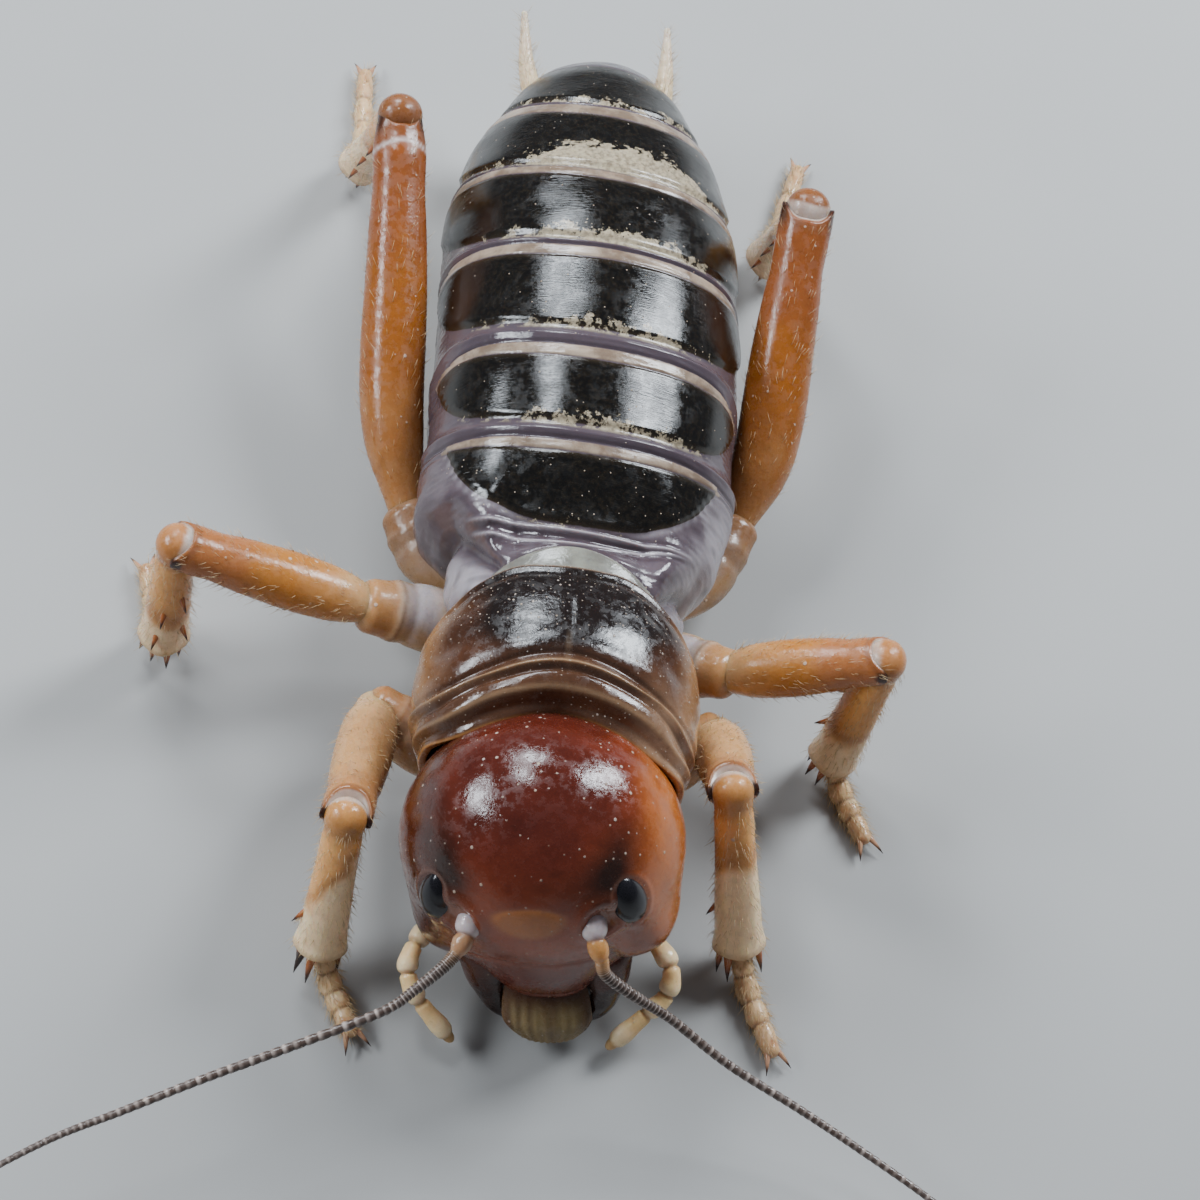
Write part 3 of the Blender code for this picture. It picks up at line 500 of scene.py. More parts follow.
def put_piece(name, shell, material, nodes=(), patch=None):
    """A piece of the model from a shell in millimetres. Marks become attributes, patch the bake's map."""
    mesh = bpy.data.meshes.new(name)
    places = (shell["points"] + SHIFT) * MM
    mesh.from_pydata(places.tolist(), [], shell["quads"].tolist() + shell["tris"].tolist())
    for key, value in shell["marks"].items():
        if value.ndim == 2:
            value = np.concatenate([value, np.ones((len(value), 1))], axis=1)
            mesh.attributes.new(key, "FLOAT_COLOR", "POINT").data.foreach_set("color", value.ravel())
        else:
            mesh.attributes.new(key, "FLOAT", "POINT").data.foreach_set("value", value.ravel())
    if patch is not None:
        corners = np.zeros(len(mesh.loops), int)
        mesh.loops.foreach_get("vertex_index", corners)
        mesh.uv_layers.new(name="OFBake").data.foreach_set("uv", patch[corners].ravel())
    mesh.shade_smooth()
    mesh.materials.append(material)
    obj = bpy.data.objects.new(name, mesh)
    bpy.context.scene.collection.objects.link(obj)
    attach(obj, "root")
    if nodes:
        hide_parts(*nodes)


class Finish:
    """A fresh material and its nodes. A socket may stand wherever a method takes a number or a colour."""

    def __init__(self, name, roughness, coat=0.0, subsurface=0.0, specular=0.35):
        self.material = bpy.data.materials.new(name)
        self.material.use_nodes = True
        self.tree = self.material.node_tree
        self.shader = self.tree.nodes["Principled BSDF"]
        values = {
            "Roughness": roughness, "Coat Weight": coat, "Coat Roughness": 0.1, "Specular IOR Level": specular
        }
        if subsurface:
            values["Subsurface Weight"] = subsurface
            values["Subsurface Radius"] = (1.0, 0.45, 0.2)
            values["Subsurface Scale"] = 0.0009
        self.feed(self.shader, values)

    def feed(self, node, inputs):
        """Gives each input of a node its value, or a link from the socket that feeds it."""
        for key, value in inputs.items():
            if isinstance(value, bpy.types.NodeSocket):
                self.tree.links.new(value, node.inputs[key])
            else:
                node.inputs[key].default_value = value
        return node

    def add(self, kind, inputs, **settings):
        """A new shader node of a kind, with its settings and its inputs."""
        node = self.tree.nodes.new("ShaderNode" + kind)
        for key, value in settings.items():
            setattr(node, key, value)
        return self.feed(node, inputs)

    def mix(self, share, a, b, mode="MIX"):
        """Colour a where share is 0 and b where it is 1."""
        a, b = (v if isinstance(v, bpy.types.NodeSocket) else (*v, 1.0) for v in (a, b))
        return self.add("Mix", {0: share, 6: a, 7: b}, data_type="RGBA", blend_type=mode).outputs[2]

    def calc(self, operation, a, b):
        """What a Math node makes of a and b."""
        return self.add("Math", {0: a, 1: b}, operation=operation).outputs[0]

    def over(self, base, colour, share, strength=None):
        """The base with a colour laid over it, by a share that the strength scales."""
        return self.mix(share if strength is None else self.calc("MULTIPLY", share, strength), base, colour)

    def mark(self, name, output="Fac"):
        """One of the shell's marks, read as a number or, by the output Color, as a colour."""
        return self.add("Attribute", {}, attribute_name=name).outputs[output]

    def millimetres(self, stretch=(1.0, 1.0, 1.0)):
        """Object coordinates in millimetres, closer together along an axis whose stretch is over 1."""
        found = self.add("TexCoord", {}).outputs["Object"]
        return self.add("Mapping", {"Vector": found, "Scale": tuple(s / MM for s in stretch)}).outputs[0]

    def noise(self, scale, detail=4.0, rough=0.55, stretch=(1.0, 1.0, 1.0)):
        """Irregular grey from 0 to 1."""
        inputs = {"Vector": self.millimetres(stretch), "Scale": scale, "Detail": detail, "Roughness": rough}
        return self.add("TexNoise", inputs).outputs["Fac"]

    def ranged(self, value, low, high, out_low=0.0, out_high=1.0):
        """A smooth rise from out_low to out_high while the value goes from low to high."""
        inputs = {"Value": value, "From Min": low, "From Max": high, "To Min": out_low, "To Max": out_high}
        return self.add("MapRange", inputs, interpolation_type="SMOOTHSTEP").outputs[0]

    def grains(self, scale, size):
        """Small round grains where the dust mark allows: Voronoi cells, closer to their middle than size."""
        cells = self.add("TexVoronoi", {"Vector": self.millimetres(), "Scale": scale})
        near = self.ranged(cells.outputs["Distance"], size, size * 0.55)
        chosen = self.add("SeparateColor", {0: cells.outputs["Color"]}).outputs[0]
        return self.calc("MULTIPLY", near, self.calc("LESS_THAN", chosen, self.mark("dust")))

    def rougher(self, rough, speck):
        """Feeds the roughness, with matt grains."""
        self.feed(self.shader, {"Roughness": self.calc("ADD", rough, self.calc("MULTIPLY", speck, 0.4))})

    def done(self, colour, *bumps):
        """Feeds the colour and a chain of bumps, each a height, a depth in millimetres and a strength."""
        inputs = {"Base Color": colour}
        for height, depth, strength in bumps:
            chain = {"Height": height, "Distance": depth * MM, "Strength": strength}
            if "Normal" in inputs:
                chain["Normal"] = inputs["Normal"]
            inputs["Normal"] = inputs["Coat Normal"] = self.add("Bump", chain).outputs[0]
        self.feed(self.shader, inputs)
        return self.material


def painted_finish(name, roughness, coat=0.0, subsurface=0.0, mottle=0.25, mottle_scale=1.2, pore_scale=9.0,
                   pore_depth=0.012, dust_scale=1.9, dust_size=0.2, wave=0.04, specular=0.35):
    """Cuticle whose colour is painted on its points, with fine mottling, pores and grains of dust."""
    f = Finish(name, roughness, coat, subsurface, specular)
    base = f.mark("paint", "Color")
    cloud = f.noise(mottle_scale, 6.0, 0.65)
    pores = f.noise(pore_scale, 3.0)
    dark = f.mix(1.0, base, (0.55, 0.5, 0.48), "MULTIPLY")
    light = f.mix(1.0, base, (1.35, 1.3, 1.2), "MULTIPLY")
    base = f.over(base, dark, f.ranged(cloud, 0.5, 0.3), mottle)
    base = f.over(base, light, f.ranged(cloud, 0.5, 0.72), mottle)
    base = f.over(base, dark, f.ranged(pores, 0.55, 0.75), 0.3)
    fine = f.grains(dust_scale * 1.9, dust_size * 1.3)
    speck = f.calc("MAXIMUM", f.grains(dust_scale, dust_size), f.calc("MULTIPLY", fine, 0.7))
    grain = f.mix(f.ranged(pores, 0.4, 0.6), colours()["dust"], (0.55, 0.45, 0.38))
    base = f.over(base, grain, speck, 0.75)
    f.rougher(f.ranged(f.noise(2.2, 6.0, 0.7), 0.46, 0.58, roughness * 0.5, roughness * 1.9), speck)
    return f.done(base, (cloud, wave, 0.6), (pores, pore_depth, 0.6), (speck, 0.03, 0.8))


def hair_finish(name, dark, light, subsurface=0.0):
    """Hair that goes from dark to light with a noise."""
    f = Finish(name, 0.4, subsurface=subsurface)
    return f.done(f.mix(f.noise(3.0), dark, light))


def trunk_section(y, turn):
    """Points of the trunk at stations y along it, round angles turn, from +X over the top."""
    half, top, bottom = columns(TRUNK, y, 0.55)
    middle = (bottom + top) / 2
    sine, cosine = np.sin(turn), np.cos(turn)
    power = np.where(sine > 0, 1.0, BELLY_SQUARE)
    x = half[:, None] * np.sign(cosine) * np.abs(cosine) ** power
    z = middle[:, None] + (top - middle)[:, None] * np.sign(sine) * np.abs(sine) ** power
    x = x + (TRUNK_X * (1 - step(-6.0, -3.0, y)) + TAIL_X * step(7.0, 19.0, y))[:, None]
    return np.stack([x, np.broadcast_to(y[:, None], x.shape), z], axis=-1), half


def thorax_form(grid, share):
    """Relief and marks ahead of the first plate: collar, two fine ridges, a crease and the bulges beside it.

    The collar is a bow behind the shield's rear rim. From its ends the crease between the middle and the rear
    thorax runs out and back to the flank, with a whitish swelling ahead of it and a broad one behind.
    """
    x, y = grid[..., 0], grid[..., 1]
    side = np.abs(x)
    edge = np.where(share < 0.5, side, 5.2)
    out = step(2.7, 3.4, edge) * (1 - step(0.64, 0.78, share))
    top = 1 - step(0.3, 0.42, share)
    upper = top * (1 - step(2.9, 3.6, side))
    across = top * (1 - step(3.2, 4.6, side))
    from_collar = y - COLLAR_AT + 0.135 * (x + 0.2) ** 2
    crease_y = CREASE_AT + 1.15 * np.clip(edge - 2.9, 0, 2.15) + 0.25 - 1.1 * step(-2.0, 2.0, x)
    crease = y - crease_y
    first = y + 2.5 + 0.05 * x - 0.03 * x**2
    second = y + 3.1 - 0.045 * x**2
    collar = step(0.0, 0.28, -from_collar) * upper
    relief = 0.5 * collar * step(-7.6, -6.0, y) - 0.12 * hump(from_collar, 0.12, 0.14) * upper
    relief += (0.17 * hump(first, 0, 0.08) + 0.13 * hump(second, 0, 0.08)) * across
    relief -= (0.12 * hump(first, -0.3, 0.16) + 0.06 * hump(first, 0.16, 0.08)) * across
    relief += (0.45 * hump(crease, 1.7, 1.0) + 0.22 * hump(crease, -1.3, 1.0)) * out
    relief -= 0.48 * hump(crease, 0, 0.38) * out
    relief += 0.45 * hump(y, 1.1, 1.8) * hump(share, 0.47, 0.12)
    relief -= 0.5 * step(0.9, -2.0, y) * step(-3.7, -2.7, y) * upper
    # Painted shade in the grooves just behind the two ridges; the dark mark below also adds the shade in the
    # crease.
    groove_shade = np.maximum(hump(first, -0.3, 0.24), hump(second, -0.28, 0.16)) * across
    # Painted highlights along the crests of the two ridges; the ridge mark below also paints a pale line
    # along the collar's rear edge.
    light = np.maximum(hump(first, 0, 0.07), hump(second, 0, 0.06)) * across
    return relief, {
        "collar": collar,
        "dark": np.maximum(groove_shade, hump(crease, 0, 0.34) * out),
        "bulge": hump(crease, -1.5, 1.1) * out,
        "ridge": np.maximum(light, hump(from_collar, -0.12, 0.08) * upper),
    }


def trunk_shell():
    """Neck, thorax and abdomen in one skin: sections along Y, moved along their normals by a relief.

    A plate's edges bow back at the sides by PLATE_BOW (x / half width)^2. Its rise is a smooth ramp at its
    front edge and a step down behind its hem. Between two plates the membrane swells in a low fold.
    """
    rise = sizes()["plate_rise"]
    turn = circle(TRUNK_SIDES)
    neck, rest = (np.linspace(*span) for span in TRUNK_SPANS)
    grid, half = trunk_section(np.concatenate([neck[:-1], rest]), turn)
    normal = facing_up(grid_normals(grid), TRUNK_SIDES // 4)
    share = np.broadcast_to(np.arccos(np.clip(np.sin(turn), -1, 1)) / math.pi, grid.shape[:2])
    x, y = grid[..., 0], grid[..., 1]
    bow = PLATE_BOW * np.clip((x / half[:, None]) ** 2, 0, 1) * np.clip((24.5 - y) / 3, 0, 1)
    q = y - bow + PLATE_TILT * x
    relief, fold, spiracle = (np.zeros_like(q) for _ in range(3))
    plate, hem, patch = (np.full_like(q, -5.0) for _ in range(3))
    sides = 1 - step(0.44, 0.6, share)
    afters = [row[0] for row in TERGITES[1:]] + [TERGITES[-1][1] + LAST_HEM]
    for (front, rear, end, blunt, hem_share, patch_depth), after in zip(TERGITES, afters):
        gap = after - rear
        crescent = front < 0
        reach = np.clip(share / end, 0, 1.15)
        lead = front + (rear - front) * (0.95 if crescent else 0.5) * reach**blunt
        trail = rear - (0 if crescent else 0.25) * (rear - front) * reach**blunt
        inside = np.minimum(np.minimum(q - lead, trail - q), (end - share) * 12)
        plate = np.maximum(plate, inside)
        if crescent:
            soft_edge = hump(inside, -0.15, 0.16) * step(2.0, 3.4, np.abs(x)) * (q < rear)
        hem_end = trail + gap * hem_share * (1 - 0.45 * reach**3)
        hem = np.maximum(hem, np.minimum(np.minimum(q - trail, hem_end - q), (end + 0.03 - share) * 12))
        depth = patch_depth * np.exp(-(((x - 0.5) / 3.9) ** 4))
        patch = np.maximum(patch, np.where(q > front - 0.3, depth - (q - front), -5.0))
        stand = step(0, 0.3, q - lead) * (1 - step(-0.03, 0.07, q - hem_end)) * sides
        relief += rise * stand * (0.75 + 0.25 * step(front, rear, q))
        relief -= (0.05 * hump(q, rear, 0.06) + 0.07 * hump(q, hem_end + 0.14, 0.09)) * sides
        swell = np.clip((q - hem_end) / np.maximum(after - hem_end, 0.1), 0, 1)
        # Painted shadow: a dark line in the membrane just behind each hem.
        fold = np.maximum(fold, hump(swell, 0.12, 0.16) * sides)
        relief += (0.1 * np.sin(math.pi * swell) ** 2 + 0.05 * hump(swell, 0.55, 0.1)) * sides
        relief -= 0.16 * hump(q, rear + gap * 0.7, 0.18) * step(0.5, 0.62, share)
        pitch = np.clip((q - front) / (after - front), 0, 1)
        relief += 0.16 * hump(share, 0.57, 0.06) * np.sin(math.pi * pitch) ** 2
        relief -= 0.12 * hump(q, (front + rear) / 2 + 0.3, 0.3) * hump(share, 0.6, 0.02)
        place = np.sqrt(((q - (front + 0.9)) / 0.2) ** 2 + ((share - 0.56) / 0.014) ** 2)
        spiracle = np.maximum(spiracle, step(1.3, 0.8, place))
    relief -= 0.14 * hump(share, 0.53, 0.03) * step(-1.0, 3.0, y)
    thorax_relief, made = thorax_form(grid, share)
    thorax = step(-6.4, -5.4, y) * (1 - step(-0.4, 2.4, y))
    soft = (1 - step(-0.1, 0.25, plate)) * (1 - made["collar"])
    relief += thorax_relief + 0.05 * ripple(grid, 2.0, 3) * thorax * soft
    relief += 0.012 * ripple(grid * (1, 2.2, 1), 0.9, 4) * soft + 0.03 * ripple(grid, 3.5, 5)
    points = grid + normal * (relief * step(25.8, 24.6, y))[..., None]
    points[..., 2] = np.maximum(points[..., 2], 0.02 * step(0.5, 0.0, points[..., 2]))
    points -= normal * (spiracle * 0.1)[..., None]
    # Painted light: the pale skin of the thorax's flanks is painted paler towards +X, the side where more
    # light falls; the bulge ahead of the crease is whitish skin.
    pale = np.maximum(thorax * step(0.24, 0.42, share) * 0.7 * step(-2.0, 4.0, x), made["bulge"])
    # Painted shade: dark streaks that stand for fine creases over the thorax's soft skin, with the shade of
    # its crease and of the grooves behind its ridges.
    crease = np.maximum(np.maximum(0, -ripple(grid * (1, 2.0, 1), 1.3, 8)) * thorax * 0.7, made["dark"])
    dusty = 0.05 + 0.16 * step(-0.2, 0.2, plate) + 0.25 * hump(q, -0.5, 1.3) * (share < 0.4)
    return tube(points, {
        "plate": plate,
        "hem": hem,
        "patch": patch,
        "fold": fold,
        "belly": step(0.56, 0.7, share),
        "pale": np.maximum(pale, 0.45 * soft_edge),
        "collar": made["collar"],
        "ridge": made["ridge"],
        "spiracle": spiracle,
        "crease": np.clip(crease, 0, 1),
        "dust": np.clip(dusty, 0, 1),
        "matt": (1 - step(0.6, 1.0, q)) * step(0.0, 0.2, plate),
        "brown": step(1.0, 10.0, y) * step(0.28, 0.46, share),
        "band": step(0.2, 1.2, q),
        "rim": step(TERGITES[-1][1] - 0.3, TERGITES[-1][1], q),
    })


def trunk_finish():
    """Black plates with ragged pale patches and cream hems, on mauve membrane over a beige belly."""
    c = colours()
    f = Finish("trunk_skin", 0.25, coat=0.05, subsurface=0.12, specular=0.5)
    plate = f.mark("plate")
    cloud = f.noise(0.9, 6.0, 0.65)
    fine = f.noise(5.0, 5.0, 0.6)
    ragged = f.noise(1.7, 7.0, 0.7)
    silk = f.noise(3.0, stretch=(0.25, 2.4, 0.25))
    skin = f.mix(f.ranged(cloud, 0.35, 0.65), c["membrane"], c["membrane"] * 1.45)
    skin = f.over(skin, c["pale"], f.ranged(silk, 0.5, 0.75), 0.04)
    for name, colour, strength in (
        ("band", (0.09, 0.068, 0.08), 0.85),
        ("brown", (0.12, 0.065, 0.05), 0.8),
        # pale: whitish skin, with painted light that makes the thorax's +X flank paler.
        ("pale", c["pale"], None),
        # crease: painted shade in the thorax's creases and grooves.
        ("crease", (0.05, 0.03, 0.036), 0.75),
        # fold: the painted shadow just behind each hem.
        ("fold", (0.05, 0.036, 0.045), 0.6),
        ("belly", f.mix(f.ranged(cloud, 0.3, 0.7), c["belly"], c["belly"] * 0.7), None),
        ("collar", f.mix(f.ranged(cloud, 0.35, 0.65), (0.24, 0.235, 0.19), (0.15, 0.14, 0.12)), None),
        # A painted highlight on the fine ridges of the thorax, with a pale line along the collar's rear edge.
        ("ridge", c["pale"], 0.7),
    ):
        skin = f.over(skin, colour, f.mark(name), strength)
    hem = f.mix(f.ranged(f.noise(0.8, 5.0, 0.6), 0.38, 0.62), c["hem"] * 1.1, (0.17, 0.115, 0.08))
    hem = f.over(hem, (0.2, 0.15, 0.11), f.ranged(silk, 0.35, 0.6), 0.3)
    hem = f.over(hem, (0.17, 0.1, 0.07), f.mark("brown"), 0.6)
    hem = f.over(hem, (0.13, 0.12, 0.125), f.mark("rim"))
    skin = f.over(skin, hem, f.ranged(f.mark("hem"), 0.0, 0.1))
    black = f.mix(f.ranged(fine, 0.4, 0.75), c["plate"], (0.015, 0.011, 0.007))
    black = f.over(black, (0.035, 0.024, 0.014), f.ranged(plate, 0.35, 0.0), 0.6)
    wander = f.calc("MULTIPLY", f.calc("SUBTRACT", ragged, 0.5), 0.16)
    base = f.over(skin, black, f.ranged(f.calc("ADD", plate, wander), -0.03, 0.04))
    tear = f.calc("MULTIPLY", f.calc("SUBTRACT", ragged, 0.57), 3.6)
    on_patch = f.ranged(f.calc("ADD", f.mark("patch"), tear), -0.08, 0.12)
    cream = f.mix(f.ranged(fine, 0.35, 0.7), (0.42, 0.35, 0.24), (0.2, 0.16, 0.11))
    base = f.over(base, cream, on_patch, f.ranged(plate, -0.25, 0.0))
    base = f.over(base, (0.05, 0.02, 0.012), f.mark("spiracle"))
    speck = f.grains(3.6, 0.14)
    base = f.over(base, c["dust"], speck, 0.75)
    gloss = f.ranged(f.noise(1.5, 6.0, 0.7), 0.44, 0.58, 0.05, 0.24)
    f.rougher(f.calc("ADD", gloss, f.calc("MULTIPLY", f.mark("matt"), 0.03)), speck)
    flesh = f.calc("MULTIPLY", cloud, f.ranged(plate, 0.3, -0.1, 0.2, 1.0))
    micro = f.noise(7.0, 3.0, stretch=(0.25, 3.0, 0.25))
    micro = f.calc("MULTIPLY", micro, f.ranged(plate, -0.1, 0.1, 0.25, 1.0))
    return f.done(base, (flesh, 0.07, 0.6), (micro, 0.013, 0.6), (speck, 0.03, 0.8))


def shield_shell():
    """The pronotum: a saddle over the prothorax, a thin closed plate with a rounded and rimmed border.

    Row u runs from the front rim to the rear one, column v from flank to flank over the top. The rear rim
    is an arc that lies further forward towards the flanks, and the lower corners are rounded off.
    """
    thick = sizes()["shield_thick"]
    u = np.linspace(0, 1, SHIELD_ROWS)[:, None]
    v = np.linspace(-1, 1, SHIELD_COLUMNS)[None, :]
    flank = np.abs(v)
    front = -11.3 - 1.25 * step(0.0, 0.5, flank) - 0.5 * step(0.3, 0.6, v) + 1.6 * step(0.78, 1.0, flank) ** 2
    rear = -5.2 - 3.1 * step(0.15, 0.78, flank) - 1.3 * step(0.76, 1.0, flank) ** 2
    from_front = (rear - front) * u
    from_rear = (rear - front) - from_front
    y = front + from_front
    half, top = columns(SHIELD, y, 0.35)
    sine, cosine = np.sin(v * SHIELD_TURN), np.cos(v * SHIELD_TURN)
    x = half * np.sign(sine) * np.abs(sine) ** np.where(cosine > 0, 1.0, 0.75) + TRUNK_X
    z = SHIELD_MIDDLE + np.where(cosine > 0, top - SHIELD_MIDDLE, SHIELD_MIDDLE - SHIELD_DROP) * cosine
    middle = np.stack([x, y, z], axis=-1)
    curl = (1 - step(0.0, 0.9, from_front)) * (1 - 0.5 * step(0.35, 0.6, flank))
    close = np.sqrt(1 - ((front + 0.1 - HEAD_CENTRE[1]) / HEAD_HALF[1]) ** 2) * HEAD_HALF[0] + 0.12
    around = [HEAD_CENTRE[0] + close * sine, front - 0.25, HEAD_CENTRE[2] + close * cosine]
    middle = middle + (np.stack(around, axis=-1) - middle) * curl[..., None]
    normal = facing_up(grid_normals(middle, wrap=False), SHIELD_COLUMNS // 2)
    from_side = (1 - flank) * SHIELD_TURN * half
    from_edge = np.minimum(from_rear, from_side)
    line = x - TRUNK_X
    ridges = sum(height * hump(from_front, place, width) for height, place, width in SHIELD_RIDGES)
    relief = ridges * (1 - step(0.6, 0.85, flank))
    relief += 0.04 * hump(from_edge, 0.18, 0.14) - 0.05 * hump(from_edge, 0.55, 0.2)
    relief -= 0.035 * hump(line, 0, 0.1) * step(0.4, 1.0, from_front) * step(0.2, 1, from_rear)
    relief -= 0.12 * hump(flank, 0.42, 0.1) * hump(from_front, 3.3, 0.6)
    relief -= 0.1 * hump(flank, 0.3, 0.05) * hump(from_front, 5.1, 0.4)
    relief += 0.025 * ripple(middle, 2.4, 21)
    middle = middle + normal * relief[..., None]
    border = np.clip(np.minimum(from_front, from_edge) / 0.22, 0, 1)
    half_thick = thick / 2 * np.sqrt(1 - (1 - border) ** 2) * (0.4 + 0.6 * step(0.0, 1.3, from_rear))
    c = colours()
    blotch = ripple(middle, 2.8, 22) * 0.35
    rim = step(0.74, 0.97, np.abs(line) / half + blotch * 0.16 - 0.1 * step(2.0, 0.5, from_front))
    centre = np.sqrt((line / 4.0) ** 2 + ((y + 7.2) / 3.0) ** 2)
    front_band = step(2.3, 1.3, from_front)
    streak = np.clip(ripple(middle * (1, 3, 1), 1.6, 23) * 0.5, 0, 0.7)
    ridge_tan_and_highlight = (0.36, 0.22, 0.12)
    paint = painted(
        c["shield_mid"],
        (c["shield"], 1 - step(0.75, 1.25, centre + blotch * 0.35)),
        (c["shield_rim"], rim * 0.85),
        ((0.075, 0.033, 0.017), front_band * 0.85 * (1 - rim * 0.6)),
        ((0.04, 0.016, 0.01), streak * front_band),
        # Painted highlight: the front of the +X flank is painted a lighter amber.
        ((0.42, 0.25, 0.15), step(2.2, 4.4, x) * step(3.2, 0.8, from_front) * 0.7),
        # Light lines along the front ridges: the rear one is the ridge's own tan, the front one a painted
        # highlight along its crest.
        (ridge_tan_and_highlight, hump(from_front, 1.32, 0.08) * (1 - 0.5 * rim) * 0.7),
        (ridge_tan_and_highlight, hump(from_front, 0.66, 0.04) * (1 - 0.5 * rim) * 0.7),
        ((0.45, 0.2, 0.06), step(0.3, 0.18, from_front) * 0.8),
        ((0.3, 0.2, 0.13),
         hump(line, 0, 0.05) * step(0.9, 1.5, from_front) * step(3.0, 1.8, from_front) * 0.6),
        ((0.34, 0.23, 0.16), hump(from_edge, 0.06, 0.09) * 0.8),
    )
    dust = 0.2 + 0.3 * step(2.6, 0.2, from_rear) + 0.25 * hump(from_front, 4.4, 1.0) + 0.2 * rim
    return sheet(middle, normal, half_thick, {"paint": paint, "dust": np.clip(dust, 0, 0.75)})


def from_head(points):
    """Points of the head's own frame in the body's, by the turn HEAD_ROLL about Y."""
    c, s = math.cos(math.radians(HEAD_ROLL)), math.sin(math.radians(HEAD_ROLL))
    return np.asarray(points, float) @ np.array([[c, 0, -s], [0, 1, 0], [s, 0, c]]) + HEAD_CENTRE


def on_head(x, z):
    """The point of the round head's front at x and z of its own frame, and the outward direction there."""
    y = -HEAD_HALF[1] * math.sqrt(1 - (x / HEAD_HALF[0]) ** 2 - (z / HEAD_HALF[2]) ** 2)
    point = np.array([x, y, z])
    return point, unit(point / HEAD_HALF**2)


